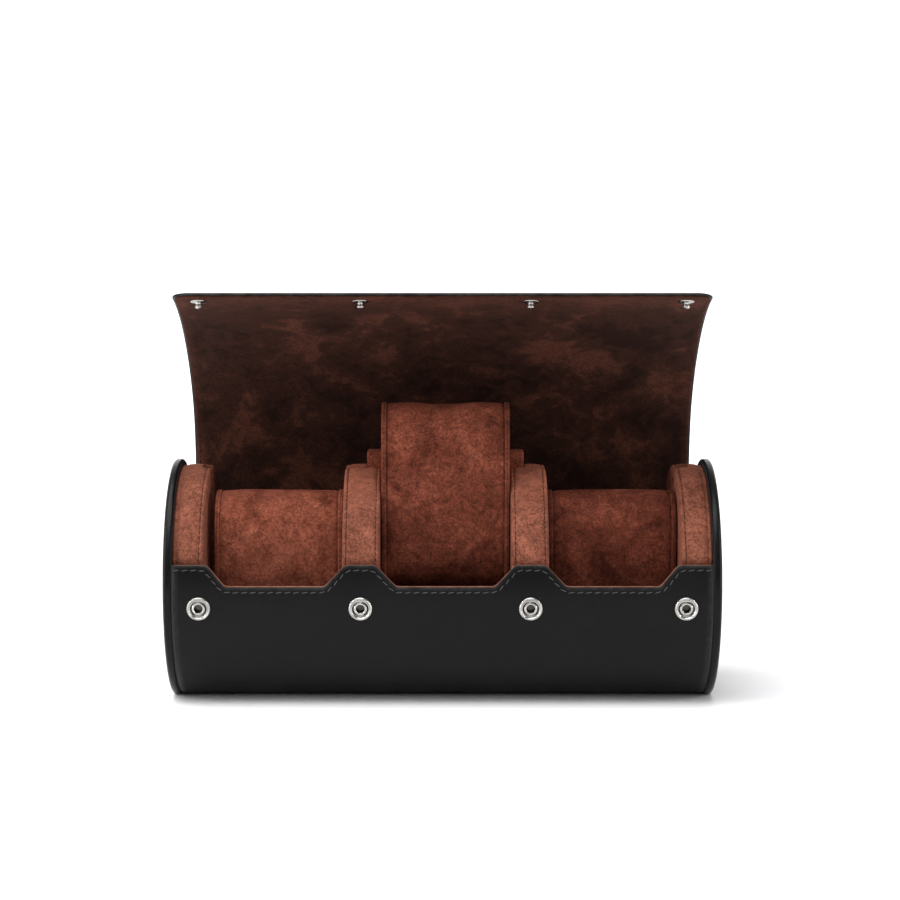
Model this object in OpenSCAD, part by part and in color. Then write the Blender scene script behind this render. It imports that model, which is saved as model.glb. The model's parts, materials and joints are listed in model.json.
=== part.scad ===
// Watch travel case: a round leather roll with three cushion seats and a flap that snaps shut.
// X runs along the roll, the front faces -Y, and Z = 0 is the table under the flat of the shell.

/* [Shell] */
// Length of the case over both end caps
case_l = 235; // [200:1:280]
// Outer radius of the leather shell
shell_r = 51.5; // [48:0.5:60]
// Depth of the flat that the case stands on
flat_depth = 1.5; // [1:0.1:2.5]
// Thickness of the outer leather
leather_t = 1.2; // [0.8:0.1:1.6]
// Thickness of the stiff board between leather and lining
board_t = 1.6; // [1.2:0.1:2]
// Thickness of the suede lining
lining_t = 0.6; // [0.4:0.1:0.8]
// Width of the sewn groove beside each end cap
groove_w = 0.8; // [0.6:0.1:1.2]
// How far the welt lies below the leather in that groove
welt_drop = 0.5; // [0.3:0.1:0.7]

/* [End caps] */
// Thickness of each end cap
cap_t = 3.7; // [3:0.1:5]
// How far a cap's rim stands outside the shell
cap_lip = 0.3; // [0.1:0.1:0.6]
// Rounding of the cap's outer rim
cap_round = 1.5; // [0.6:0.1:2]
// Thickness of the leather around the board in a cap
cap_leather_t = 1.2; // [0.8:0.1:1.6]

/* [Front edge] */
// Height of the notch floors above the roll's axis
notch_z = 2.7; // [0:0.1:6]
// Height of the tabs above the notch floors
tab_h = 9.2; // [6:0.1:12]
// Width of the level top of an inner tab
tab_w = 12.9; // [9:0.1:16]
// Length along the edge of an inner tab's sloping side
tab_slope = 8.6; // [5:0.1:11]
// Width of the level top of an outer tab, from the cap inward
outer_tab_w = 14; // [10:0.5:18]
// Length along the edge of an outer tab's sloping side
outer_tab_slope = 7.6; // [5:0.1:10]

/* [Seats] */
// Width of the padded collar at each end
collar_w = 13; // [10:0.5:16]
// Width of each divider between two seats
divider_w = 15.8; // [15:0.1:20]
// How much wider the left seat is than the middle one
left_spare = 2.75; // [0:0.05:4]
// How much wider the right seat is than the middle one
right_spare = 0.15; // [0:0.05:4]
// How far the suede bands lie inside the shell's outer surface
band_drop = 2.3; // [2:0.1:3]
// Thickness of the suede bands on collars and dividers
band_t = 1.2; // [0.8:0.1:1.6]
// Height above the tabs at which the bands start
band_lift = 0.4; // [0.2:0.1:1]

/* [Cushions] */
// Depth of a cushion, front to back
cushion_d = 32; // [28:1:34]
// How far the cushions stand in front of the roll's axis
cushion_forward = 12; // [8:0.5:13]
// Gap between a seated cushion's crown and the shell's lining
cushion_rest = 0.45; // [0.35:0.05:1]
// Height of a seated cushion's top above the roll's axis
cushion_top = 39.6; // [38:0.1:42]
// Thickness of the stitched board at each end of a cushion
end_board_t = 2.2; // [1.6:0.1:3]
// How far the padding is drawn in at its end seams
draw_in = 0.8; // [0.4:0.1:1.2]
// Crown of the padding between its end seams
crown = 1.6; // [0.8:0.1:2]
// How far the middle cushion is pulled up
middle_lift = 38; // [10:1:45]

/* [Wings] */
// How far a wing reaches out beside its cushion
wing_reach = 6.6; // [4:0.1:7]
// Depth of a wing, front to back
wing_d = 10; // [8:0.5:14]
// Height of a wing
wing_h = 36; // [28:1:40]
// How far a wing's top lies below the cushion's top
wing_drop = 21.4; // [18:0.1:26]
// How far the wings stand in front of the roll's axis
wing_forward = 2; // [0:0.5:4]
// Running gap of cushions and wings in their seats
slide_gap = 0.35; // [0.3:0.05:0.6]

/* [Flap] */
// Gap between the flap's sides and the end caps
flap_side_gap = 0.4; // [0.3:0.1:1]
// Thickness of the flap's outer leather
flap_leather_t = 1; // [0.8:0.1:1.3]
// Thickness of the flap's suede lining
flap_lining_t = 0.6; // [0.4:0.1:0.8]
// How far the flap's leather stands outside the shell's
flap_proud = 0.4; // [0.3:0.1:0.8]
// Height of the strip that the flap hinges on
hinge_strip = 5; // [3:0.5:8]
// Number of panels that stand for the bending leather
panel_count = 8; // [6:1:8]
// Opening between two panels at a fold
fold_gap = 0.5; // [0.3:0.1:1]
// Opening between the strip and the first panel, where the flap hinges
hinge_gap = 0.8; // [0.6:0.1:1.2]
// Height of the flap's straight back wall, above the roll's axis
back_wall_h = 44; // [30:1:50]
// Radius of the open flap's lower bend
bend_r = 54; // [45:1:70]
// Angle that the lower bend turns through
bend_angle = 45; // [35:1:50]
// Radius of the open flap's upper curve
crown_r = 150; // [120:5:200]
// Rounding of the flap's tip corners
tip_round = 8; // [4:0.5:12]
// How much tighter than the shell the closed flap winds just past its hinge
wrap_slack = 0.1; // [0:0.1:1]

/* [Snaps] */
// Angle of the snaps below the roll's axis, on the front
snap_angle = 7.3; // [5:0.1:10]
// Distance of the outer snaps from the ends of the shell's leather
snap_inset = 10.6; // [8:0.1:14]
// Distance from the last fold to the snaps
snap_to_fold = 13; // [11:0.5:16]
// Distance from the snaps to the flap's tip
snap_to_tip = 9; // [7:0.5:12]
// Radius of a socket's ring
socket_r = 5; // [4:0.1:5.5]
// How far a socket's ring stands out of the leather
socket_proud = 0.6; // [0.4:0.1:1]
// How deep a socket's ring sits in the leather
socket_sunk = 0.3; // [0.2:0.1:0.5]
// Radius of a socket's hole
socket_hole_r = 1.8; // [1.5:0.1:2.2]
// Outer radius of a socket's barrel
barrel_r = 2.6; // [2.2:0.1:3]
// Radius of the washer behind a socket
washer_r = 4; // [3.2:0.1:4.5]
// Thickness of the washer behind a socket
washer_t = 0.4; // [0.3:0.1:0.6]
// Radius of a stud's flange
flange_r = 4.2; // [3.4:0.1:5]
// Thickness of a stud's flange
flange_t = 0.5; // [0.4:0.1:0.8]
// Radius of a stud's ball
ball_r = 1.5; // [1.2:0.05:1.6]
// Radius of a stud's neck and of its rivet
neck_r = 1.1; // [0.8:0.1:1.3]
// Height of a stud over the flap's lining
stud_h = 3.3; // [2.8:0.1:3.5]
// Radius of the cap over a stud, on the flap's leather
snap_cap_r = 6; // [5:0.1:7]
// Height of the cap over a stud
snap_cap_h = 1.2; // [0.8:0.1:1.6]
// Free space between stud and socket when the flap is snapped
snap_gap = 0.15; // [0.1:0.05:0.3]

/* [Hidden] */
$fn = 96;

// Colours
leather_colour = [0.09, 0.09, 0.1];
suede_colour = [0.5, 0.24, 0.17];
flap_suede_colour = [0.3, 0.16, 0.12];
board_colour = [0.55, 0.47, 0.36];
steel_colour = [0.75, 0.75, 0.77];

// Play between glued pieces and around rivets
glue_gap = 0.1;
rivet_gap = 0.05;
// Extra length that makes a cut run clean through
over = 1;
// Sizes of the mesh of the padding
cushion_steps = 12;
end_steps = 14;
// Halvings that find the panel length
search_steps = 30;
// Facets round the snap caps' dome
dome_facets = 360;

axis_z = shell_r - flat_depth;
board_r = shell_r - leather_t;
lining_r = board_r - board_t;
inner_r = lining_r - lining_t;
core_r = inner_r - glue_gap;
band_r = shell_r - band_drop;
band_in_r = band_r - band_t;
cap_r = shell_r + cap_lip;
cap_in_x = case_l / 2 - cap_t;
leather_half = cap_in_x - groove_w;
tab_z = notch_z + tab_h;
band_z = tab_z + band_lift;

// Flanks of the seats along X
collar_x = cap_in_x - collar_w;
seat_w = (2 * (collar_x - divider_w) - left_spare - right_spare) / 3;
seat_offset = (left_spare - right_spare) / 2;
middle_left_x = seat_offset - seat_w / 2;
middle_right_x = seat_offset + seat_w / 2;
left_flank_x = middle_left_x - divider_w;
right_flank_x = middle_right_x + divider_w;
left_divider_x = middle_left_x - divider_w / 2;
right_divider_x = middle_right_x + divider_w / 2;
snap_outer_x = leather_half - snap_inset;
snap_xs = [-snap_outer_x, left_divider_x, right_divider_x, snap_outer_x];

// Cushions: one width fits every seat, and the outer two lie against the dividers
cushion_w = seat_w - 2 * slide_gap;
left_cushion_x = left_flank_x - slide_gap - cushion_w / 2;
right_cushion_x = right_flank_x + slide_gap + cushion_w / 2;
crown_radius = cushion_d / 2 + crown - draw_in;
lower_reach = sqrt(pow(inner_r - cushion_rest - crown_radius, 2) - pow(cushion_forward, 2));
cushion_h = cushion_top + lower_reach + cushion_d / 2;
cushion_mid_z = cushion_top - cushion_h / 2;
wing_mid_z = cushion_top - wing_drop - wing_h / 2;
wing_span = cushion_w + 2 * wing_reach;

// Flap
flap_half = cap_in_x - flap_side_gap;
flap_t = flap_leather_t + flap_lining_t;
flap_y = shell_r + flap_proud - flap_t;
tip_l = snap_to_fold + snap_to_tip;
last = panel_count - 1;

// The closed flap winds outward from its hinge until its tip lies flat on the snaps
lap_r = shell_r + socket_proud + flange_t + snap_gap;
hinge_y = flap_y + flap_t;
hinge_r = norm([hinge_y, hinge_strip]);
hinge_turn = atan2(hinge_strip, hinge_y);
tight_r = shell_r - wrap_slack;
last_fold_r = norm([lap_r, snap_to_fold]);
last_fold_turn = 180 + snap_angle - atan2(snap_to_fold, lap_r);

function wound_r(k) =
    k == 0 ? hinge_r : tight_r + (last_fold_r - tight_r) * pow((k - 1) / (last - 1), 2);
function chord_turn(a, b, length) =
    acos((a * a + b * b - length * length) / (2 * a * b));

// The hinge line lies on the leather's outer face, and the folds on the lining's inner face
function wound_chord(k, length) = k == 1 ? norm([length, flap_t]) : length;
function wound_turn(k, length) =
    k == 0 ? hinge_turn
    : wound_turn(k - 1, length)
        + chord_turn(wound_r(k - 1), wound_r(k), wound_chord(k, length));

// Panel length that brings the last fold to its place on the closed case
function find_panel(low, high, steps) =
    steps == 0 ? (low + high) / 2
    : wound_turn(last, (low + high) / 2) > last_fold_turn
        ? find_panel(low, (low + high) / 2, steps - 1)
        : find_panel((low + high) / 2, high, steps - 1);
panel_l = find_panel(0, shell_r, search_steps);

// Lean of the open flap towards the front, a distance s up from the roll's axis
bend_l = bend_r * bend_angle * PI / 180;
function lean_at(s) =
    s < back_wall_h ? 0
    : s < back_wall_h + bend_l ? (s - back_wall_h) / bend_r * 180 / PI
    : bend_angle + (s - back_wall_h - bend_l) / crown_r * 180 / PI;
function panel_length(k) = k == last ? tip_l : panel_l;
function panel_lean(k) = lean_at(hinge_strip + k * panel_l + panel_length(k) / 2);
function fold_point(k) =
    k == 0 ? [flap_y, hinge_strip]
    : fold_point(k - 1) + panel_l * [-sin(panel_lean(k - 1)), cos(panel_lean(k - 1))];

// Frames of reference
module on_axis() {
    translate([0, 0, axis_z])
        children();
}

module along_x(x0, x1) {
    on_axis()
        translate([x0, 0, 0])
            rotate([90, 0, 90])
                linear_extrude(x1 - x0)
                    children();
}

module at_snaps() {
    for (x = snap_xs)
        translate([x, 0, axis_z])
            rotate([90 + snap_angle, 0, 0])
                children();
}

module on_panel(k) {
    translate([0, fold_point(k)[0], axis_z + fold_point(k)[1]])
        rotate([panel_lean(k), 0, 0])
            children();
}

module at_studs() {
    on_panel(last)
        for (x = snap_xs)
            translate([x, 0, snap_to_fold])
                rotate([90, 0, 0])
                    children();
}

module at_cushion(x, lift) {
    translate([x, -cushion_forward, axis_z + cushion_mid_z + lift])
        children();
}

// Outlines
module flat_round(r) {
    intersection() {
        circle(r);
        translate([-r, flat_depth - r])
            square([2 * r, 2 * r]);
    }
}

module flat_ring(r_out, r_in) {
    difference() {
        flat_round(r_out);
        flat_round(r_in);
    }
}

module cushion_outline() {
    r = cushion_d / 2;
    reach = cushion_h / 2 - r;
    union() {
        square([cushion_d, 2 * reach], center = true);
        translate([0, reach])
            circle(r);
        translate([0, -reach])
            circle(r);
    }
}

// Cuts
inner_tab_x = tab_w / 2;
inner_foot_x = tab_w / 2 + tab_slope;
outer_tab_x = leather_half - outer_tab_w;
outer_foot_x = outer_tab_x - outer_tab_slope;
function inner_tab(x) = [
    [x - inner_foot_x, notch_z], [x - inner_tab_x, tab_z],
    [x + inner_tab_x, tab_z], [x + inner_foot_x, notch_z]
];
front_edge = concat(
    [[-case_l, tab_z], [-outer_tab_x, tab_z], [-outer_foot_x, notch_z]],
    inner_tab(left_divider_x),
    inner_tab(right_divider_x),
    [[outer_foot_x, notch_z], [outer_tab_x, tab_z], [case_l, tab_z]],
    [[case_l, 2 * shell_r], [-case_l, 2 * shell_r]]
);

module mouth_cut() {
    on_axis() {
        rotate([90, 0, 0])
            linear_extrude(2 * shell_r)
                polygon(front_edge);
        translate([-case_l, -over, 0])
            cube([2 * case_l, 2 * shell_r, 2 * shell_r]);
    }
}

module wing_slots() {
    for (x = [left_cushion_x, seat_offset, right_cushion_x])
        translate([
            x - wing_span / 2 - slide_gap,
            -wing_forward - wing_d / 2 - slide_gap,
            axis_z + wing_mid_z - wing_h / 2 - slide_gap
        ])
            cube([wing_span + 2 * slide_gap, wing_d + 2 * slide_gap, 2 * shell_r]);
}

module shell_layer(r_out, r_in, half) {
    difference() {
        along_x(-half, half)
            flat_ring(r_out, r_in);
        mouth_cut();
        children();
    }
}

// Shell
module shell_leather() {
    color(leather_colour)
        shell_layer(shell_r, board_r, leather_half)
            at_snaps() {
                cylinder(r = barrel_r + rivet_gap, h = shell_r + over);
                translate([0, 0, shell_r - socket_sunk])
                    cylinder(r = socket_r + rivet_gap, h = over);
            }
}

module shell_board() {
    color(board_colour)
        shell_layer(board_r, lining_r, cap_in_x)
            at_snaps() {
                cylinder(r = barrel_r + rivet_gap, h = shell_r);
                cylinder(r = washer_r + rivet_gap, h = lining_r + washer_t);
            }
}

module shell_lining() {
    color(suede_colour)
        shell_layer(lining_r, inner_r, cap_in_x);
}

// Ends
module side(left) {
    mirror([left ? 1 : 0, 0, 0])
        children();
}

module cap_outline() {
    union() {
        square([cap_r, cap_t - cap_round]);
        square([cap_r - cap_round, cap_t]);
        translate([cap_r - cap_round, cap_t - cap_round])
            intersection() {
                circle(cap_round);
                square(cap_round);
            }
    }
}

module end_cap(left) {
    color(leather_colour)
        side(left)
            difference() {
                translate([cap_in_x, 0, axis_z])
                    rotate([0, 90, 0])
                        rotate_extrude()
                            cap_outline();
                translate([0, -case_l, -case_l])
                    cube([case_l, 2 * case_l, case_l]);
                end_board_space(0, cap_in_x - over);
            }
}

module end_board_space(gap, x0) {
    r = cap_r - cap_leather_t - gap;
    translate([0, 0, axis_z])
        intersection() {
            translate([x0, 0, 0])
                rotate([0, 90, 0])
                    cylinder(r = r, h = case_l / 2 - cap_leather_t - gap - x0);
            translate([0, -case_l / 2, cap_leather_t + gap - axis_z])
                cube(case_l);
        }
}

module end_board(left) {
    color(board_colour)
        side(left)
            end_board_space(rivet_gap, cap_in_x);
}

module end_welt(left) {
    color(leather_colour)
        side(left)
            difference() {
                along_x(leather_half, cap_in_x)
                    flat_ring(shell_r - welt_drop, board_r);
                side(left)
                    mouth_cut();
            }
}

// Seats
module core(x0, x1) {
    color(suede_colour)
        difference() {
            along_x(x0, x1)
                flat_round(core_r);
            wing_slots();
        }
}

module band(x0, x1) {
    color(suede_colour)
        difference() {
            along_x(x0, x1)
                difference() {
                    circle(band_r);
                    circle(band_in_r);
                    translate([-shell_r, band_z - 2 * shell_r])
                        square(2 * shell_r);
                }
            wing_slots();
        }
}

// Snaps
module snap_sockets() {
    color(steel_colour)
        at_snaps()
            difference() {
                union() {
                    translate([0, 0, shell_r - socket_sunk])
                        cylinder(r = socket_r, h = socket_sunk + socket_proud);
                    translate([0, 0, lining_r + washer_t])
                        cylinder(r = barrel_r, h = shell_r - lining_r - washer_t);
                }
                cylinder(r = socket_hole_r, h = 2 * shell_r);
            }
}

module snap_socket_washers() {
    color(steel_colour)
        at_snaps()
            translate([0, 0, lining_r])
                cylinder(r = washer_r, h = washer_t);
}

module snap_studs() {
    color(steel_colour)
        at_studs() {
            cylinder(r = flange_r, h = flange_t);
            translate([0, 0, -flap_t])
                cylinder(r = neck_r, h = flap_t + stud_h - ball_r);
            translate([0, 0, stud_h - ball_r])
                sphere(ball_r);
        }
}

module snap_caps() {
    dome_r = (snap_cap_r * snap_cap_r + snap_cap_h * snap_cap_h) / (2 * snap_cap_h);
    color(steel_colour)
        at_studs()
            translate([0, 0, -flap_t])
                rotate([180, 0, 0])
                    rotate_extrude()
                        intersection() {
                            translate([0, snap_cap_h - dome_r])
                                circle(dome_r, $fn = dome_facets);
                            square([snap_cap_r, snap_cap_h]);
                        }
}

// Cushions
function padding_grow(u) = crown * (1 - pow(u, 4)) - draw_in;
function padding_ring(x, r) = [
    for (half = [1, -1])
        for (i = [0:end_steps])
            [
                x,
                half * r * cos(180 * i / end_steps),
                half * (r * sin(180 * i / end_steps) + cushion_h / 2 - cushion_d / 2)
            ]
];

module padding() {
    half = cushion_w / 2 - end_board_t;
    n = 2 * (end_steps + 1);
    points = [
        for (j = [0:cushion_steps])
            let (u = 2 * j / cushion_steps - 1)
                each padding_ring(u * half, cushion_d / 2 + padding_grow(u))
    ];
    sides = [
        for (j = [0:cushion_steps - 1])
            for (i = [0:n - 1])
                let (a = j * n + i, b = j * n + (i + 1) % n)
                    each [[a, b, a + n], [b, b + n, a + n]]
    ];
    ends = [
        [for (i = [0:n - 1]) n - 1 - i],
        [for (i = [0:n - 1]) cushion_steps * n + i]
    ];
    polyhedron(points, concat(sides, ends));
}

module cushion(x, lift) {
    color(suede_colour)
        at_cushion(x, lift)
            padding();
}

module cushion_boards(x, lift) {
    color(suede_colour)
        at_cushion(x, lift)
            for (left = [true, false])
                side(left)
                    translate([cushion_w / 2 - end_board_t, 0, 0])
                        rotate([90, 0, 90])
                            linear_extrude(end_board_t)
                                cushion_outline();
}

module cushion_wings(x, lift) {
    color(suede_colour)
        translate([x, -wing_forward, axis_z + wing_mid_z + lift])
            for (left = [true, false])
                side(left)
                    translate([cushion_w / 2, -wing_d / 2, -wing_h / 2])
                        cube([wing_reach, wing_d, wing_h]);
}

// Flap: strip 0 is sewn to the shell, and the panels past it bend at the folds
module strip(y0, y1) {
    translate([-flap_half, flap_y + y0, axis_z + fold_gap])
        cube([2 * flap_half, y1 - y0, hinge_strip - hinge_gap / 2 - fold_gap]);
}

module panel(k, y0, y1) {
    start = k == 0 ? hinge_gap / 2 : fold_gap / 2;
    on_panel(k)
        translate([-flap_half, y0, start])
            cube([2 * flap_half, y1 - y0, panel_length(k) - start - fold_gap / 2]);
}

module tip_outline() {
    union() {
        translate([-flap_half, fold_gap / 2])
            square([2 * flap_half, tip_l - tip_round - fold_gap / 2]);
        translate([tip_round - flap_half, fold_gap / 2])
            square([2 * (flap_half - tip_round), tip_l - fold_gap / 2]);
        for (x = [tip_round - flap_half, flap_half - tip_round])
            translate([x, tip_l - tip_round])
                circle(tip_round);
    }
}

module tip(y0, y1) {
    difference() {
        on_panel(last)
            translate([0, y1, 0])
                rotate([90, 0, 0])
                    linear_extrude(y1 - y0)
                        tip_outline();
        at_studs()
            translate([0, 0, -flap_t - over])
                cylinder(r = neck_r + rivet_gap, h = flap_t + 2 * over);
    }
}

module flap_piece(i, y0, y1) {
    if (i == 0)
        strip(y0, y1);
    else if (i == panel_count)
        tip(y0, y1);
    else
        panel(i - 1, y0, y1);
}

module flap_leather(i) {
    color(leather_colour)
        flap_piece(i, flap_lining_t, flap_t);
}

module flap_lining(i) {
    color(flap_suede_colour)
        flap_piece(i, 0, flap_lining_t);
}

shell_leather();
shell_board();
shell_lining();
end_cap(true);  // end_cap_left
end_cap(false);  // end_cap_right
end_board(true);  // end_board_left
end_board(false);  // end_board_right
end_welt(true);  // end_welt_left
end_welt(false);  // end_welt_right
core(-cap_in_x, -collar_x);  // collar_core_left
core(collar_x, cap_in_x);  // collar_core_right
band(-cap_in_x, -collar_x);  // collar_band_left
band(collar_x, cap_in_x);  // collar_band_right
core(left_flank_x, middle_left_x);  // divider_core_left
core(middle_right_x, right_flank_x);  // divider_core_right
band(left_flank_x, middle_left_x);  // divider_band_left
band(middle_right_x, right_flank_x);  // divider_band_right
snap_sockets();
snap_socket_washers();
cushion(left_cushion_x, 0);  // cushion_left
cushion_boards(left_cushion_x, 0);  // cushion_left_boards
cushion_wings(left_cushion_x, 0);  // cushion_left_wings
cushion(seat_offset, middle_lift);  // cushion_middle
cushion_boards(seat_offset, middle_lift);  // cushion_middle_boards
cushion_wings(seat_offset, middle_lift);  // cushion_middle_wings
cushion(right_cushion_x, 0);  // cushion_right
cushion_boards(right_cushion_x, 0);  // cushion_right_boards
cushion_wings(right_cushion_x, 0);  // cushion_right_wings
for (i = [0:panel_count])
    flap_leather(i);
for (i = [0:panel_count])
    flap_lining(i);
snap_studs();
snap_caps();
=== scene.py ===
"""Dresses the watch travel case: leather, suede, stitching and snaps around its CAD frame, with a studio."""
import json
import math

import bmesh
import bpy
import numpy as np
from bpy.props import FloatProperty, FloatVectorProperty, PointerProperty
from bpy.types import Operator, Panel, PropertyGroup
from mathutils import Matrix, Vector, noise


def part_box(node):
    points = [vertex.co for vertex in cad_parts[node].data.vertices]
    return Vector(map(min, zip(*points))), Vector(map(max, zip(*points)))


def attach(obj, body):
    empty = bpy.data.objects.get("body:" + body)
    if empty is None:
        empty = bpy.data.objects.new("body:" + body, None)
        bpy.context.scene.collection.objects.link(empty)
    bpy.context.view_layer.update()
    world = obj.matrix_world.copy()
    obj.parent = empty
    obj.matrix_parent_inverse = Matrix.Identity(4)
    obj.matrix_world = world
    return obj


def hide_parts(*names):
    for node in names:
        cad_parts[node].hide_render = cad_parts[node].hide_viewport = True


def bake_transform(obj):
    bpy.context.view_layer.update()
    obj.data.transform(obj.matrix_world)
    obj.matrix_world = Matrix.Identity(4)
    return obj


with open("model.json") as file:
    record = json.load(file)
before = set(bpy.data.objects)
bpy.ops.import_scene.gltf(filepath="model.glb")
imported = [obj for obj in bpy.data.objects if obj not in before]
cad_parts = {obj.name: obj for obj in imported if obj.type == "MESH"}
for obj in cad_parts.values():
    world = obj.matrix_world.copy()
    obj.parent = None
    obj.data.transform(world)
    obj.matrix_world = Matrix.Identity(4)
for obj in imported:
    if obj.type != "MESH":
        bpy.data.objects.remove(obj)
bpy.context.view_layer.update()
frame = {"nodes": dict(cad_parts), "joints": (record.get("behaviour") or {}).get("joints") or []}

bl_info = {
    "name": "Watch travel case",
    "version": (1, 0, 0),
    "blender": (4, 5, 0),
    "location": "View3D > Sidebar > Case",
    "description": "Builds the leather, suede, stitching and snaps of a watch travel case",
    "category": "Object",
}

MM = 0.001

# Sizes of the roll, read from the frame
CAP_LOW, CAP_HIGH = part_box("end_cap_right")
LEATHER_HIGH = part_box("shell_leather")[1]
AXIS_Z = CAP_HIGH.z - CAP_HIGH.y
ROLL_R = LEATHER_HIGH.y
BOARD_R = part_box("shell_board")[1].y
LEATHER_HALF = LEATHER_HIGH.x
CAP_IN_X = CAP_LOW.x
BAND_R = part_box("collar_band_right")[1].z - AXIS_Z
BAND_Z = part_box("collar_band_right")[0].z
CORE_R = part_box("collar_core_right")[1].z - AXIS_Z
LINING_IN_R = CORE_R + 0.1 * MM
FLAP_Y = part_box("flap_lining_0")[0].y
FLAP_LINING_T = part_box("flap_lining_0")[1].y - FLAP_Y
FLAP_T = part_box("flap_leather_0")[1].y - FLAP_Y
FLAP_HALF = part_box("flap_leather_0")[1].x
JOINTS = {joint["name"]: joint for joint in frame["joints"]}

CUSHIONS = ("left", "middle", "right")


# Meshes

def grid_faces(rows, columns, wrap=False, start=0):
    """Quads between rows of points; wrap closes each row into a ring."""
    faces = []
    for i in range(rows - 1):
        for j in range(columns if wrap else columns - 1):
            a = start + i * columns + j
            b = start + i * columns + (j + 1) % columns
            faces.append((a, b, b + columns, a + columns))
    return faces


def reshape(mesh, change=None):
    """Runs change on the mesh's points and faces, and turns the faces outwards."""
    build = bmesh.new()
    build.from_mesh(mesh)
    if change:
        change(build)
    bmesh.ops.recalc_face_normals(build, faces=build.faces)
    build.to_mesh(mesh)
    build.free()


def add_piece(name, points, faces, material, sharp=None):
    """A new object from points and faces, smooth apart from edges sharper than sharp degrees."""
    mesh = bpy.data.meshes.new(name)
    mesh.from_pydata([tuple(p) for p in points], [], faces)
    mesh.update()
    reshape(mesh)
    mesh.shade_smooth()
    if sharp is not None:
        mesh.set_sharp_from_angle(angle=math.radians(sharp))
    mesh.materials.append(material)
    piece = bpy.data.objects.new(name, mesh)
    bpy.context.scene.collection.objects.link(piece)
    return piece


def tube_piece(name, rings, material, sharp=None, capped=True):
    """A closed piece through equal rings of points, with a fan over each end ring."""
    count = len(rings[0])
    points = [p for ring in rings for p in ring]
    faces = grid_faces(len(rings), count, wrap=True)
    if capped:
        for first in (0, (len(rings) - 1) * count):
            middle = Vector((0, 0, 0))
            for p in points[first:first + count]:
                middle += Vector(p)
            points.append(middle / count)
            faces += [(first + j, first + (j + 1) % count, len(points) - 1) for j in range(count)]
    return add_piece(name, points, faces, material, sharp)


def slab_piece(name, rings, material, sharp):
    """A closed piece through equal rings of points, with one flat face at each end."""
    count = len(rings[0])
    last = (len(rings) - 1) * count
    faces = grid_faces(len(rings), count, wrap=True)
    faces += [tuple(range(count)), tuple(range(last, last + count))]
    return add_piece(name, [p for ring in rings for p in ring], faces, material, sharp)


def join(pieces, name):
    """Joins pieces into the first one and names it."""
    bpy.ops.object.select_all(action="DESELECT")
    for piece in pieces:
        piece.select_set(True)
    bpy.context.view_layer.objects.active = pieces[0]
    if len(pieces) > 1:
        bpy.ops.object.join()
    joined = pieces[0]
    joined.name = name
    joined.data.name = name
    joined.select_set(False)
    return joined


def apply_modifiers(piece):
    """Makes the mesh as modified the piece's own mesh."""
    graph = bpy.context.evaluated_depsgraph_get()
    mesh = bpy.data.meshes.new_from_object(piece.evaluated_get(graph))
    piece.modifiers.clear()
    piece.data = mesh


def store_vector(piece, name, vectors):
    """A vector for each point, read by the materials as texture coordinates."""
    layer = piece.data.attributes.new(name, "FLOAT_VECTOR", "POINT")
    layer.data.foreach_set("vector", np.array(vectors, np.float32).ravel())


def store_value(piece, name, values):
    """A number for each point, read by the materials as a mask."""
    layer = piece.data.attributes.new(name, "FLOAT", "POINT")
    layer.data.foreach_set("value", np.array(values, np.float32))


def place(piece, body, slot, *nodes):
    """Rides the piece on its body and hides the nodes that it stands for; slot is not used."""
    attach(piece, body)
    if nodes:
        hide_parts(*nodes)
    return piece


def fillet(corners, radius, steps=5):
    """Rounds the corners of an open outline of 2D points, each by a short curve of so many steps."""
    path = [Vector(corners[0])]
    for before, corner, after in zip(corners, corners[1:], corners[2:]):
        corner = Vector(corner)
        into = Vector(before) - corner
        out = Vector(after) - corner
        turn = math.pi - into.angle(out)
        reach = min(radius * math.tan(turn / 2), into.length / 2, out.length / 2)
        start = corner + into.normalized() * reach
        end = corner + out.normalized() * reach
        for i in range(steps + 1):
            t = i / steps
            path.append((1 - t) ** 2 * start + 2 * t * (1 - t) * corner + t * t * end)
    path.append(Vector(corners[-1]))
    return path


# A stitch's rings: (share of its length, size there)
STITCH_RINGS = ((0.0, 0.45), (0.12, 0.85), (0.5, 1.0), (0.88, 0.85), (1.0, 0.45))
STITCH_SIDES = 6


def stitch_mesh(stitches, radius, height):
    """Points and faces of small rounded threads: each stitch is (start, end, normal)."""
    points, faces = [], []
    for start, end, normal in stitches:
        along = (end - start).normalized()
        side = along.cross(normal).normalized()
        first = len(points)
        for share, size in STITCH_RINGS:
            middle = start.lerp(end, share) + normal * (height * size - height / 2)
            for k in range(STITCH_SIDES):
                angle = 2 * math.pi * k / STITCH_SIDES
                across = side * (math.cos(angle) * radius * size)
                points.append(middle + across + normal * (math.sin(angle) * height * size))
        faces += grid_faces(len(STITCH_RINGS), STITCH_SIDES, wrap=True, start=first)
        last = first + (len(STITCH_RINGS) - 1) * STITCH_SIDES
        faces.append(tuple(range(first, first + STITCH_SIDES)))
        faces.append(tuple(range(last, last + STITCH_SIDES)))
    return points, faces


def stitch_path(samples, length, gap, slant=0.0):
    """Stitches along samples of (point, normal): about length long with a gap after each.

    Each end is moved sideways by slant, so that the stitches lean to the seam.
    """
    total = 0.0
    marks = [0.0]
    for (a, _), (b, _) in zip(samples, samples[1:]):
        total += (b - a).length
        marks.append(total)
    count = max(1, int((total + gap) / (length + gap)))
    pitch = (total + gap) / count

    def at(s):
        """Point and normal at a length along the samples."""
        i = min(len(marks) - 2, max(0, int(np.searchsorted(marks, s)) - 1))
        share = (s - marks[i]) / max(1e-9, marks[i + 1] - marks[i])
        return samples[i][0].lerp(samples[i + 1][0], share), samples[i][1]

    stitches = []
    for k in range(count):
        start, normal = at(k * pitch)
        end, _ = at(k * pitch + pitch - gap)
        aside = (end - start).normalized().cross(normal) * slant
        stitches.append((start + aside, end - aside, normal))
    return stitches


# Materials

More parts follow.
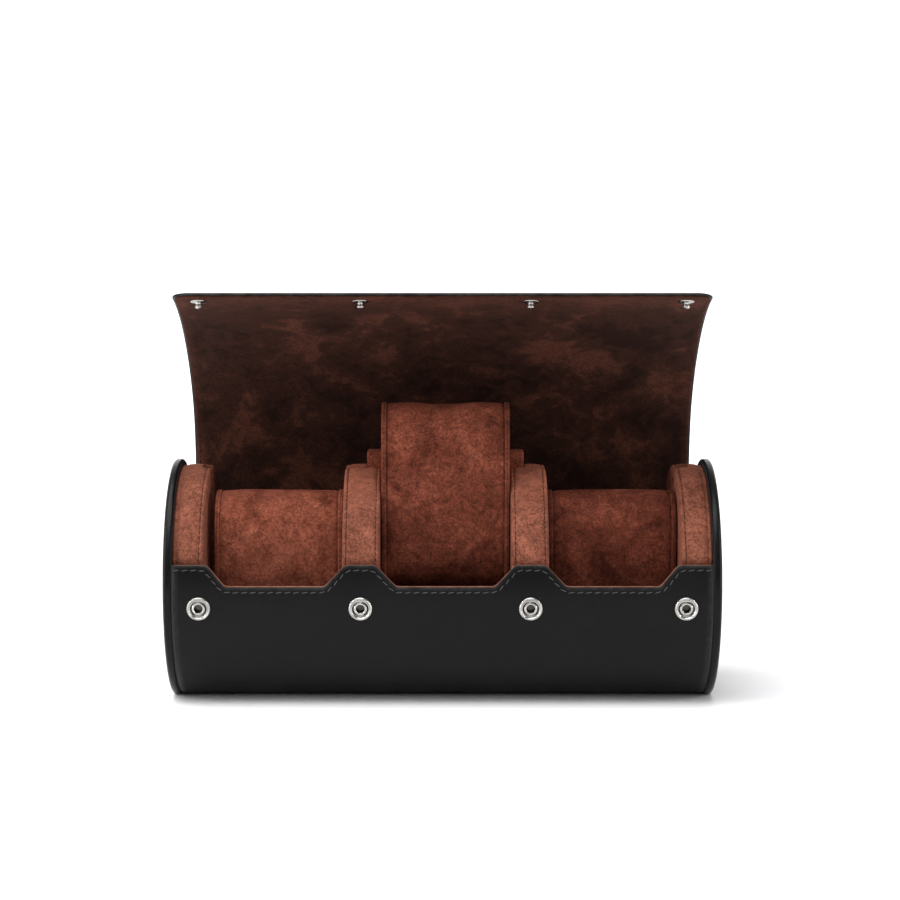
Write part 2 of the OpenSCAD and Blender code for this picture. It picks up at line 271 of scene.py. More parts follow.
def add_node(tree, kind, **inputs):
    """A node with its named inputs set, an input's spaces written as underscores."""
    node = tree.nodes.new(kind)
    for name, value in inputs.items():
        set_input(tree, node.inputs[name.replace("_", " ")], value)
    return node


def set_input(tree, socket, value):
    """Sets a socket to a number or colour, or links it to an output."""
    if isinstance(value, bpy.types.NodeSocket):
        tree.links.new(value, socket)
    elif socket.type == "RGBA" and len(value) == 3:
        socket.default_value = (*value, 1)
    else:
        socket.default_value = value


def math_node(tree, operation, a, b=0.0, clamp=False):
    """The output of a Math node on two numbers or outputs."""
    node = tree.nodes.new("ShaderNodeMath")
    node.operation = operation
    node.use_clamp = clamp
    set_input(tree, node.inputs[0], a)
    set_input(tree, node.inputs[1], b)
    return node.outputs[0]


def mix_colours(tree, share, a, b, blend="MIX"):
    """The output of a colour mix, from a at share 0 to b at share 1."""
    node = tree.nodes.new("ShaderNodeMix")
    node.data_type = "RGBA"
    node.blend_type = blend
    set_input(tree, node.inputs["Factor"], share)
    set_input(tree, node.inputs[6], a)
    set_input(tree, node.inputs[7], b)
    return node.outputs[2]


def spread(tree, value, low, high, to_low=0.0, to_high=1.0):
    """Stretches the span from low to high over the span from to_low to to_high."""
    node = add_node(tree, "ShaderNodeMapRange", Value=value, From_Min=low, From_Max=high,
                    To_Min=to_low, To_Max=to_high)
    node.interpolation_type = "SMOOTHSTEP"
    return node.outputs["Result"]


def cloud(tree, vector, size, detail=2.0, rough=0.5, distort=0.0):
    """Noise with features about size metres across, from 0 to 1."""
    scale = math_node(tree, "DIVIDE", 1.0, size)
    return add_node(tree, "ShaderNodeTexNoise", Vector=vector, Scale=scale, Detail=detail,
                    Roughness=rough, Distortion=distort).outputs["Fac"]


def shaded(tree, colour, shade):
    """A colour times a shade, which is a number about 1."""
    grey = add_node(tree, "ShaderNodeCombineColor", Red=shade, Green=shade, Blue=shade)
    return mix_colours(tree, 1.0, colour, grey.outputs["Color"], "MULTIPLY")


def new_group(name, inputs, outputs):
    """A shader node group with named sockets: (tree, its given values, its output node)."""
    tree = bpy.data.node_groups.new(name, "ShaderNodeTree")
    for label, kind, default in inputs:
        socket = tree.interface.new_socket(name=label, in_out="INPUT", socket_type=kind)
        if default is not None:
            socket.default_value = default
    for label, kind in outputs:
        tree.interface.new_socket(name=label, in_out="OUTPUT", socket_type=kind)
    given = tree.nodes.new("NodeGroupInput").outputs
    return tree, given, tree.nodes.new("NodeGroupOutput")


COLOUR = "NodeSocketColor"
NUMBER = "NodeSocketFloat"
VECTOR = "NodeSocketVector"


def suede_group():
    """Brushed suede: strokes of dark and light nap, a fine grain of fibres and their height."""
    tree, given, made = new_group("Suede nap", (
        ("Vector", VECTOR, None), ("Base", COLOUR, (0.2, 0.07, 0.04, 1)),
        ("Dark", COLOUR, (0.1, 0.03, 0.02, 1)), ("Light", COLOUR, (0.3, 0.12, 0.08, 1)),
        ("Stroke size", NUMBER, 0.02), ("Fibre size", NUMBER, 0.0005), ("Strokes", NUMBER, 1.0),
    ), (("Colour", COLOUR), ("Roughness", NUMBER), ("Height", NUMBER)))
    strokes = cloud(tree, given["Vector"], given["Stroke size"], 2.0, 0.45, 0.8)
    small = math_node(tree, "MULTIPLY", given["Stroke size"], 0.3)
    patches = cloud(tree, given["Vector"], small, 2.5, 0.5, 1.2)
    fibres = cloud(tree, given["Vector"], given["Fibre size"], 2.0, 0.7)
    tufts = cloud(tree, given["Vector"], math_node(tree, "MULTIPLY", given["Fibre size"], 3.0), 2.0, 0.6, 1.5)
    hairs = cloud(tree, given["Vector"], math_node(tree, "MULTIPLY", given["Fibre size"], 1.6), 2.0, 0.6, 3.0)
    nap = math_node(tree, "ADD", math_node(tree, "MULTIPLY", strokes, 0.6),
                    math_node(tree, "MULTIPLY", patches, 0.4))
    dark = math_node(tree, "MULTIPLY", spread(tree, nap, 0.5, 0.34), given["Strokes"], clamp=True)
    light = math_node(tree, "MULTIPLY", spread(tree, nap, 0.5, 0.66), given["Strokes"], clamp=True)
    colour = mix_colours(tree, dark, given["Base"], given["Dark"])
    colour = mix_colours(tree, light, colour, given["Light"])
    speckle = math_node(tree, "ADD", math_node(tree, "MULTIPLY", fibres, 0.5),
                        math_node(tree, "MULTIPLY", tufts, 0.5))
    shade = math_node(tree, "MULTIPLY", spread(tree, speckle, 0.36, 0.64, 0.62, 1.38),
                      spread(tree, hairs, 0.32, 0.5, 0.6, 1.05))
    set_input(tree, made.inputs["Colour"], shaded(tree, colour, shade))
    set_input(tree, made.inputs["Roughness"], spread(tree, tufts, 0.3, 0.7, 0.86, 1.0))
    height = math_node(tree, "ADD", math_node(tree, "MULTIPLY", speckle, 0.7),
                       math_node(tree, "MULTIPLY", hairs, 0.3))
    set_input(tree, made.inputs["Height"], height)


def leather_group():
    """Smooth calf leather: fine pebbled grain between shallow creases, slightly uneven gloss."""
    tree, given, made = new_group("Leather grain", (
        ("Vector", VECTOR, None), ("Colour", COLOUR, (0.015, 0.015, 0.016, 1)),
        ("Grain size", NUMBER, 0.0009), ("Gloss", NUMBER, 0.42),
    ), (("Colour", COLOUR), ("Roughness", NUMBER), ("Height", NUMBER)))
    bend = cloud(tree, given["Vector"], math_node(tree, "MULTIPLY", given["Grain size"], 4.0), 2.0)
    cells = tree.nodes.new("ShaderNodeTexVoronoi")
    cells.feature = "SMOOTH_F1"
    set_input(tree, cells.inputs["Vector"], given["Vector"])
    set_input(tree, cells.inputs["Scale"], math_node(tree, "DIVIDE", 1.0, given["Grain size"]))
    set_input(tree, cells.inputs["Smoothness"], 0.7)
    pores = cloud(tree, given["Vector"], math_node(tree, "MULTIPLY", given["Grain size"], 0.45), 2.0)
    clouds = cloud(tree, given["Vector"], 0.03, 3.0)
    pebble = math_node(tree, "SUBTRACT", 1.0, cells.outputs["Distance"])
    height = math_node(tree, "ADD", math_node(tree, "MULTIPLY", pebble, 0.55),
                       math_node(tree, "MULTIPLY", bend, 0.45))
    height = math_node(tree, "ADD", height, math_node(tree, "MULTIPLY", pores, 0.25))
    uneven = math_node(tree, "ADD", spread(tree, clouds, 0.3, 0.7, -0.05, 0.06),
                       spread(tree, pores, 0.3, 0.7, -0.03, 0.05))
    shade = spread(tree, clouds, 0.3, 0.7, 0.85, 1.2)
    set_input(tree, made.inputs["Colour"], shaded(tree, given["Colour"], shade))
    set_input(tree, made.inputs["Roughness"], math_node(tree, "ADD", given["Gloss"], uneven, clamp=True))
    set_input(tree, made.inputs["Height"], height)


def wear_and_light_group():
    """Rubbed edges and painted light: a broken mask along an edge or over a part given painted light, and the
    colour turned towards a lighter one.
    """
    tree, given, made = new_group("Edge wear and painted light", (
        ("Vector", VECTOR, None), ("Edge", NUMBER, 0.0), ("Colour", COLOUR, (0, 0, 0, 1)),
        ("Worn", COLOUR, (0.1, 0.1, 0.1, 1)), ("Amount", NUMBER, 0.5),
    ), (("Colour", COLOUR),))
    broken = spread(tree, cloud(tree, given["Vector"], 0.004, 4.0, 0.65), 0.35, 0.65, 0.3, 1.0)
    mask = math_node(tree, "MULTIPLY", math_node(tree, "MULTIPLY", given["Edge"], broken), given["Amount"],
                     clamp=True)
    set_input(tree, made.inputs["Colour"], mix_colours(tree, mask, given["Colour"], given["Worn"]))


def group_node(tree, group, **inputs):
    """Outputs of a shared group placed in a material, its inputs given by name."""
    node = tree.nodes.new("ShaderNodeGroup")
    node.node_tree = bpy.data.node_groups[group]
    for name, value in inputs.items():
        set_input(tree, node.inputs[name.replace("_", " ")], value)
    return node.outputs


def new_material(name):
    """An empty node material: (material, its tree, its Principled shader)."""
    material = bpy.data.materials.new(name)
    material.use_nodes = True
    return material, material.node_tree, material.node_tree.nodes["Principled BSDF"]


def stored(tree, name):
    """The node that reads what a piece's points store under a name."""
    node = tree.nodes.new("ShaderNodeAttribute")
    node.attribute_name = name
    return node.outputs


def surface_vector(tree):
    """The coordinates stored on a piece's points, in metres."""
    return stored(tree, "surface")["Vector"]


def wear_light_shade_mask(tree):
    """The mask stored on a piece's points: 1 where it is rubbed, where painted light falls on it, and, on metal,
    where painted shade fills its hollows.
    """
    return stored(tree, "edge")["Fac"]


def object_vector(tree):
    """The piece's own coordinates, in metres."""
    return tree.nodes.new("ShaderNodeTexCoord").outputs["Object"]


def bump(tree, shader, height, depth):
    """Feeds the shader's normal from a height, with depth in metres."""
    node = add_node(tree, "ShaderNodeBump", Height=height, Distance=depth, Strength=1.0)
    tree.links.new(node.outputs["Normal"], shader.inputs["Normal"])


FIBRE_SIZE = 0.85 * MM
SUEDE_RELIEF = 0.6 * MM
LEATHER_RELIEF = 0.06 * MM
THREAD_RELIEF = 0.08 * MM
METAL_RELIEF = 0.01 * MM
BOARD_RELIEF = 0.1 * MM
WELT_RELIEF = 0.06 * MM


def suede_material(name, base, dark, light, stroke, strokes, rubbed=None, lightening_amount=0.55):
    """Suede in three tones of nap, lighter where its edge mask says: rubbed edges, and painted light on the
    dividers' tops and the flap's tip.
    """
    material, tree, shader = new_material(name)
    vector = surface_vector(tree)
    nap = group_node(tree, "Suede nap", Vector=vector, Base=base, Dark=dark, Light=light,
                     Stroke_size=stroke, Fibre_size=FIBRE_SIZE, Strokes=strokes)
    lightening = group_node(tree, "Edge wear and painted light", Vector=vector, Edge=wear_light_shade_mask(tree), Colour=nap["Colour"],
                      Worn=rubbed or light, Amount=lightening_amount)
    tree.links.new(lightening["Colour"], shader.inputs["Base Color"])
    tree.links.new(nap["Roughness"], shader.inputs["Roughness"])
    shader.inputs["Specular IOR Level"].default_value = 0.12
    shader.inputs["Sheen Weight"].default_value = 0.15
    shader.inputs["Sheen Roughness"].default_value = 0.4
    shader.inputs["Sheen Tint"].default_value = (*[min(1, 2.5 * c) for c in light], 1)
    bump(tree, shader, nap["Height"], SUEDE_RELIEF)
    return material


def leather_material(name, colour, lightening, gloss, grain):
    """Smooth grained leather, paler where its edges are rubbed, and along the roll's ends also a painted
    highlight.
    """
    material, tree, shader = new_material(name)
    vector = surface_vector(tree)
    skin = group_node(tree, "Leather grain", Vector=vector, Colour=colour, Grain_size=grain, Gloss=gloss)
    rubbed = group_node(tree, "Edge wear and painted light", Vector=vector, Edge=wear_light_shade_mask(tree), Colour=skin["Colour"],
                        Worn=lightening, Amount=0.7)
    tree.links.new(rubbed["Colour"], shader.inputs["Base Color"])
    tree.links.new(skin["Roughness"], shader.inputs["Roughness"])
    shader.inputs["Specular IOR Level"].default_value = 0.12
    bump(tree, shader, skin["Height"], LEATHER_RELIEF)
    return material


def thread_material(name, colour):
    """Waxed thread: fine strands across it and a soft gloss."""
    material, tree, shader = new_material(name)
    vector = object_vector(tree)
    strands = cloud(tree, vector, 0.00025, 2.0, 0.6)
    shade = spread(tree, strands, 0.3, 0.7, 0.7, 1.3)
    tree.links.new(shaded(tree, colour, shade), shader.inputs["Base Color"])
    tree.links.new(spread(tree, strands, 0.3, 0.7, 0.6, 0.8), shader.inputs["Roughness"])
    shader.inputs["Specular IOR Level"].default_value = 0.12
    bump(tree, shader, strands, THREAD_RELIEF)
    return material


# Painted shade for the metal's recesses
HOLLOW_SHADE = (0.035, 0.025, 0.02)


def metal_material(name, colour):
    """Bright nickel with faint polishing marks and smudges, and painted shade darkening its recesses."""
    material, tree, shader = new_material(name)
    vector = object_vector(tree)
    marks = cloud(tree, vector, 0.0003, 3.0, 0.7, 1.5)
    smudges = cloud(tree, vector, 0.004, 2.0)
    clean = mix_colours(tree, spread(tree, smudges, 0.35, 0.7), colour, tuple(0.8 * c for c in colour))
    with_hollow_shade = mix_colours(tree, wear_light_shade_mask(tree), clean, HOLLOW_SHADE)
    tree.links.new(with_hollow_shade, shader.inputs["Base Color"])
    rough = math_node(tree, "ADD", spread(tree, marks, 0.3, 0.7, 0.16, 0.28),
                      spread(tree, smudges, 0.35, 0.7, 0.0, 0.1))
    tree.links.new(rough, shader.inputs["Roughness"])
    shader.inputs["Metallic"].default_value = 1.0
    bump(tree, shader, marks, METAL_RELIEF)
    return material


def board_material(name, colour):
    """Pressed board, its fibres showing."""
    material, tree, shader = new_material(name)
    vector = object_vector(tree)
    fibres = cloud(tree, vector, 0.0006, 4.0, 0.7, 0.8)
    tree.links.new(mix_colours(tree, spread(tree, fibres, 0.35, 0.65), colour,
                               tuple(0.7 * c for c in colour)), shader.inputs["Base Color"])
    tree.links.new(spread(tree, fibres, 0.3, 0.7, 0.8, 0.95), shader.inputs["Roughness"])
    bump(tree, shader, fibres, BOARD_RELIEF)
    return material


def welt_material(name, colour):
    """Black waxed cord with a twisted lay."""
    material, tree, shader = new_material(name)
    vector = object_vector(tree)
    twist = cloud(tree, vector, 0.0005, 2.0, 0.6)
    tree.links.new(mix_colours(tree, spread(tree, twist, 0.35, 0.65), colour, tuple(2.0 * c for c in colour)),
                   shader.inputs["Base Color"])
    tree.links.new(spread(tree, twist, 0.3, 0.7, 0.5, 0.7), shader.inputs["Roughness"])
    bump(tree, shader, twist, WELT_RELIEF)
    return material


# Places on the roll

def on_roll(x, angle, radius):
    """A point on the roll, whose foot is flat: angle 0 is the front, 90 degrees the top, -180 the back."""
    y = -radius * math.cos(angle)
    z = AXIS_Z + radius * math.sin(angle)
    return Vector((x, y, max(z, ROLL_R - radius)))


def roll_normal(angle):
    """The direction straight out of the roll at an angle."""
    return Vector((0, -math.cos(angle), math.sin(angle)))


def roll_angle(point):
    """Angle of a point round the roll, from 90 degrees at the top down over the front and on to -270."""
    angle = math.atan2(point.z - AXIS_Z, -point.y)
    return angle - 2 * math.pi if angle > math.radians(90) else angle


# The front edge: how far a point may lie off the leather's face, and the least bend that makes a corner
ON_FACE = 0.05 * MM
LEAST_BEND = 0.05
EDGE_ROUND = 3.2 * MM
EDGE_STEP = 2.5 * MM


def front_corners():
    """Corners of the front edge from left to right, as (x, length up the leather), read from the frame."""
    heights = {}
    for vertex in frame["nodes"]["shell_leather"].data.vertices:
        y, z = vertex.co.y, vertex.co.z - AXIS_Z
        if y < 0 and z > MM and abs(math.hypot(y, z) - ROLL_R) < ON_FACE:
            key = round(vertex.co.x, 5)
            heights[key] = max(z, heights.get(key, z))
    outline = sorted(heights.items())
    corners = [outline[0]]
    for before, here, after in zip(outline, outline[1:], outline[2:]):
        into = (here[1] - before[1]) / (here[0] - before[0])
        out = (after[1] - here[1]) / (after[0] - here[0])
        if abs(into - out) > LEAST_BEND:
            corners.append(here)
    corners.append(outline[-1])
    return [(x, ROLL_R * math.asin(z / ROLL_R)) for x, z in corners]


def refine(path, step):
    """Adds points so that none of an outline's stretches is longer than step."""
    found = [path[0]]
    for a, b in zip(path, path[1:]):
        count = max(1, math.ceil((b - a).length / step))
        found += [a.lerp(b, (k + 1) / count) for k in range(count)]
    return found


def front_edge(drop=0.0):
    """The front edge with its corners rounded, lowered by drop, as points (x, length up the leather)."""
    path = fillet(front_corners(), EDGE_ROUND)
    kept = [path[0]]
    for p in path[1:]:
        if p.x > kept[-1].x + 0.02 * MM:
            kept.append(p)
    return [Vector((p.x, p.y - drop)) for p in refine(kept, EDGE_STEP)]


# Rows of points below the front edge, in mm, and how many more go round to the back
EDGE_ROWS = (0.12, 0.35, 0.8, 1.5, 2.4, 3.6, 5.0)
ROLL_ROWS = 96

# Outer radius of each layer
ROLL_LAYERS = {"roll_skin": ROLL_R, "roll_lining_lip": BOARD_R}

# How a layer's edges are rounded
END_ROUND = 0.35 * MM
END_DROP = 0.25 * MM
EDGE_DROP = 0.12 * MM
RIM_DROP = 0.03 * MM
RIM_SHARE = 0.75


def roll_piece(name, inner_r, drop, material, ends):
    """One layer round the roll, from the front edge, lowered by drop, to the back, with a rounded rim."""
    edge = front_edge(drop)
    edge[0].x, edge[-1].x = -ends, ends
    half = (ROLL_LAYERS[name] - inner_r) / 2
    middle_r = inner_r + half
    back = -math.pi * ROLL_R
    edge.insert(1, Vector((-ends + END_ROUND, edge[0].y)))
    edge.insert(-1, Vector((ends - END_ROUND, edge[-1].y)))
    columns = []
    for i, p in enumerate(edge):
        outer_r = ROLL_LAYERS[name] - (END_DROP if i in (0, len(edge) - 1) else 0.0)
        rows = [p.y - d * MM for d in EDGE_ROWS]
        last = rows[-1]
        rows += [last + (back - last) * (k + 1) / ROLL_ROWS for k in range(ROLL_ROWS)]
        rim = [(p.y, middle_r), (p.y - RIM_DROP, middle_r + RIM_SHARE * half)]
        outer = rim + [(s, outer_r - (0.0 if k else EDGE_DROP)) for k, s in enumerate(rows)]
        inner = [(p.y - RIM_DROP, middle_r - RIM_SHARE * half)] + [(s, inner_r) for s in rows]
        ring = outer + inner[::-1]
        columns.append([on_roll(p.x, s / ROLL_R, r) for s, r in ring])
    piece = tube_piece(name, columns, material, sharp=50, capped=False)
    reshape(piece.data, close_ends)
    return piece


def close_ends(build):
    """Fills the open rings at a piece's ends."""
    bmesh.ops.edgeloop_fill(build, edges=[e for e in build.edges if e.is_boundary])


def cut(piece, cutter):
    """Takes the cutter's volume out of the piece and deletes the cutter."""
    change = piece.modifiers.new("cut", "BOOLEAN")
    change.operation = "DIFFERENCE"
    change.solver = "EXACT"
    change.object = cutter
    apply_modifiers(piece)
    bpy.data.objects.remove(cutter)


def lathe_rings(profile, origin, axis, sides=48):
    """Rings round an axis through the points of a profile, each (radius, height) in mm."""
    axis = axis.normalized()
    across = axis.cross(Vector((1, 0, 0)) if abs(axis.x) < 0.9 else Vector((0, 0, 1))).normalized()
    other = axis.cross(across)
    rings = []
    for radius, height in profile:
        ring = []
        for k in range(sides):
            turn = 2 * math.pi * k / sides
            spoke = across * math.cos(turn) + other * math.sin(turn)
            ring.append(origin + axis * (height * MM) + spoke * (radius * MM))
        rings.append(ring)
    return rings


def lathe_piece(name, profile, origins, axis, material, sharp=35):
    """The same turned shape at each origin, as one piece; the profile is (radius, height) in mm."""
    made = []
    for k, origin in enumerate(origins):
        rings = lathe_rings(profile, origin, axis)
        made.append(tube_piece(f"{name}_{k}", rings, material, sharp))
    return join(made, name)


# Points this far apart belong to different snaps
SNAP_APART = 5 * MM


def snap_places():
    """X of each snap from left to right, and the snaps' angle on the roll, read from the frame."""
    mesh = frame["nodes"]["snap_sockets"].data
    xs = sorted(vertex.co.x for vertex in mesh.vertices)
    groups = [[xs[0]]]
    for x in xs[1:]:
        if x - groups[-1][-1] > SNAP_APART:
            groups.append([])
        groups[-1].append(x)
    middle = sum((vertex.co for vertex in mesh.vertices), Vector()) / len(mesh.vertices)
    return [(group[0] + group[-1]) / 2 for group in groups], math.atan2(middle.z - AXIS_Z, -middle.y)


def rest_places(piece):
    """Stores each point's place at rest, which the materials read, and an edge mask of 0 if it has none."""
    store_vector(piece, "surface", [v.co for v in piece.data.vertices])
    if "edge" not in piece.data.attributes:
        store_value(piece, "edge", [0.0] * len(piece.data.vertices))


# How much less the ends of the roll are paled than its front edge, in width and in strength: rubbed wear, and a
# painted highlight along the ends
END_WEAR_AND_HIGHLIGHT_WIDTH = 0.5
END_WEAR_AND_HIGHLIGHT = 0.7


def rolled_places(piece, edge_width):
    """Stores each point's place on the unrolled leather, and how near it is to the front edge or an end."""
    edge = front_edge()
    xs = [p.x for p in edge]
    tops = [p.y for p in edge]
    places, masks = [], []
    for vertex in piece.data.vertices:
        angle = roll_angle(vertex.co)
        radius = math.hypot(vertex.co.y, vertex.co.z - AXIS_Z)
        top = float(np.interp(vertex.co.x, xs, tops))
        places.append((vertex.co.x, ROLL_R * angle, radius))
        front = 1 - (top - ROLL_R * angle) / edge_width
        # Rubbed wear and a painted highlight along the roll's ends
        end = 1 - (xs[-1] - abs(vertex.co.x)) / (END_WEAR_AND_HIGHLIGHT_WIDTH * edge_width)
        masks.append(max(0.0, front, END_WEAR_AND_HIGHLIGHT * end))
    store_vector(piece, "surface", places)
    store_value(piece, "edge", masks)


# Cutter for the sockets' holes, as a profile round their axis in mm
SOCKET_HOLE = ((2.65, 44), (2.65, 54))

# How far in the leather and the lining are rubbed, and how far the lining stands above the leather
SKIN_RUB = 1.6 * MM
LIP_RUB = 1.2 * MM
LIP_ABOVE = 0.25 * MM


def build_roll(looks):
    """The leather round the roll, and the board and lining inside it."""
    skin = roll_piece("roll_skin", BOARD_R, 0.0, looks["leather"], LEATHER_HALF)
    xs, angle = snap_places()
    axis = roll_normal(angle)
    holes = lathe_piece("holes", SOCKET_HOLE, [Vector((x, 0, AXIS_Z)) for x in xs], axis, looks["leather"])
    lip = roll_piece("roll_lining_lip", LINING_IN_R, -LIP_ABOVE, looks["lining"], CAP_IN_X)
    spare = holes.copy()
    spare.data = holes.data.copy()
    bpy.context.scene.collection.objects.link(spare)
    cut(skin, holes)
    cut(lip, spare)
    rolled_places(skin, SKIN_RUB)
    rolled_places(lip, LIP_RUB)
    place(skin, "case", "black_leather", "shell_leather")
    place(lip, "case", "suede", "shell_board", "shell_lining")


# The grey thread: half its width, its height and how far each stitch slants
EDGE_THREAD = (0.2 * MM, 0.13 * MM)
EDGE_SLANT = 0.22 * MM


def build_edge_stitches(looks, sizes):
    """Grey thread a little below the front edge, following its tabs and notches."""
    edge = [Vector((p.x, p.y)) for p in front_edge()]
    samples = []
    for i, p in enumerate(edge):
        along = (edge[min(i + 1, len(edge) - 1)] - edge[max(i - 1, 0)]).normalized()
        p = p + Vector((along.y, -along.x)) * sizes.edge_drop
        if not samples or (p - samples[-1]).dot(along) > 0.1 * MM:
            samples.append(p)
    rolled = [(on_roll(p.x, p.y / ROLL_R, ROLL_R + 0.02 * MM), roll_normal(p.y / ROLL_R)) for p in samples]
    piece = thread_piece("edge_stitches", [rolled], sizes.edge_stitch, sizes.edge_gap, *EDGE_THREAD,
                         looks["grey_thread"], slant=EDGE_SLANT)
    place(piece, "case", "black_leather")


# End caps

# Across a cap from inside the roll to the middle of its face: (radius, distance out) in mm
CAP_PROFILE = ((44, 0.3), (50.6, 0.0), (51.3, 0.05), (51.65, 0.4), (51.8, 0.9), (51.8, 2.1), (51.68, 2.65),
               (51.35, 3.15), (50.85, 3.5), (50.3, 3.66), (49.5, 3.7), (48.4, 3.62), (47.6, 3.42), (47.1, 3.2),
               (46.6, 3.3), (45.5, 3.42), (40, 3.5), (20, 3.62), (4, 3.66))
CAP_SIDES = 160

# Where the rim is rubbed: beyond this radius, at this distance out, and as far as this to either side
CAP_RIM_R = 50 * MM
CAP_RUB = 3.3 * MM
CAP_RUB_WIDTH = 0.6 * MM


def flatten_foot(build):
    """Cuts off what lies below the table and closes the cut."""
    parts = build.verts[:] + build.edges[:] + build.faces[:]
    found = bmesh.ops.bisect_plane(build, geom=parts, plane_co=(0, 0, 0), plane_no=(0, 0, -1),
                                   clear_outer=True)
    edges = [e for e in found["geom_cut"] if isinstance(e, bmesh.types.BMEdge)]
    bmesh.ops.edgeloop_fill(build, edges=edges)


def build_caps(looks):
    """Leather-covered end caps: a rounded rim, a shallow seam and a slightly crowned face."""
    for side, sign in (("left", -1), ("right", 1)):
        origin = Vector((sign * CAP_IN_X, 0, AXIS_Z))
        rings = lathe_rings(CAP_PROFILE, origin, Vector((sign, 0, 0)), CAP_SIDES)
        piece = tube_piece(f"end_cap_cover_{side}", rings, looks["cap_leather"], sharp=60)
        reshape(piece.data, flatten_foot)
        masks = []
        for v in piece.data.vertices:
            out = sign * v.co.x - CAP_IN_X
            radius = math.hypot(v.co.y, v.co.z - AXIS_Z)
            masks.append(max(0.0, 1 - abs(out - CAP_RUB) / CAP_RUB_WIDTH) if radius > CAP_RIM_R else 0.0)
        store_value(piece, "edge", masks)
        rest_places(piece)
        place(piece, "case", "black_leather", f"end_cap_{side}")


# Padded collars and dividers

# Distance of a pad's seams from its flanks, in mm
SEAM_IN = 1.7


def pad_profile(width):
    """Across a padded band: (distance from one flank, drop below the band), both in mm, as the width is."""
    half = [(0.0, 1.5), (0.12, 0.95), (0.4, 0.45), (0.8, 0.15), (SEAM_IN - 0.45, 0.12), (SEAM_IN, 0.42),
            (SEAM_IN + 0.45, 0.1), (SEAM_IN + 1.0, -0.1), (SEAM_IN + 2.2, -0.26), (0.36 * width, -0.32)]
    return half + [(width / 2, -0.35)] + [(width - a, drop) for a, drop in reversed(half)]


# Points round a pad, and how its slots' edges are rounded
PAD_STEPS = 180
PAD_ROUND = 0.35 * MM


def pad_piece(name, x0, x1, material, slots):
    """A padded round with a raised band over its upper part, and slots for the cushions' wings."""
    width = (x1 - x0) / MM
    rings = []
    for across, drop in pad_profile(width):
        ring = []
        for k in range(PAD_STEPS):
            angle = 2 * math.pi * k / PAD_STEPS
            banded = BAND_R * math.sin(angle) > BAND_Z - AXIS_Z
            radius = (BAND_R - drop * MM) if banded else CORE_R - max(drop, 0.0) * MM
            ring.append(on_roll(x0 + across * MM, angle, radius))
        rings.append(ring)
    piece = slab_piece(name, rings, material, sharp=50)
    cut(piece, slots)
    round_edges(piece, PAD_ROUND)
    return piece


def round_edges(piece, width):
    """Rounds the piece's sharp edges."""
    change = piece.modifiers.new("round", "BEVEL")
    change.width = width
    change.segments = 2
    change.limit_method = "ANGLE"
    change.angle_limit = math.radians(60)
    apply_modifiers(piece)
    piece.data.shade_smooth()
    piece.data.set_sharp_from_angle(angle=math.radians(50))


# Play round the cushions' wings in their slots
WING_GAP = 0.35 * MM


def box_piece(name, low, high, material):
    """A box, used only to cut with."""
    points = [(x, y, z) for x in (low[0], high[0]) for y in (low[1], high[1]) for z in (low[2], high[2])]
    faces = [(0, 1, 3, 2), (4, 5, 7, 6), (0, 1, 5, 4), (2, 3, 7, 6), (0, 2, 6, 4), (1, 3, 7, 5)]
    return add_piece(name, points, faces, material)


def wing_slots(material):
    """The volume that the cushions' wings slide in, open at the top."""
    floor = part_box("cushion_left_wings")[0].z - WING_GAP
    boxes = []
    for name in CUSHIONS:
        low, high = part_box(f"cushion_{name}_wings")
        boxes.append(box_piece(f"slot_{name}", (low.x - WING_GAP, low.y - WING_GAP, floor),
                               (high.x + WING_GAP, high.y + WING_GAP, AXIS_Z + 2 * ROLL_R), material))
    return join(boxes, "slots")


def thread_piece(name, paths, length, gap, radius, height, material, slant=0.0):
    """Stitches along each path of (point, normal) samples, as one piece."""
    points, faces = [], []
    for samples in paths:
        more_points, more_faces = stitch_mesh(stitch_path(samples, length, gap, slant), radius, height)
        first = len(points)
        points += more_points
        faces += [tuple(first + i for i in face) for face in more_faces]
    piece = add_piece(name, points, faces, material)
    rest_places(piece)
    return piece


# A thread in the suede: half its width, and its height
FINE_THREAD = (0.18 * MM, 0.12 * MM)

# The pads' seams: how far their thread lies below the band, and how far from the slots they stop
PAD_SEAM_DEPTH = 0.3 * MM
SLOT_SPARE = 2 * WING_GAP

# Painted light on the dividers' tops: the height at which the suede starts to turn light and how soon it is
# lightest, as shares of the radius
TOP_LIGHT_START = 0.68
TOP_LIGHT_RISE = 0.22


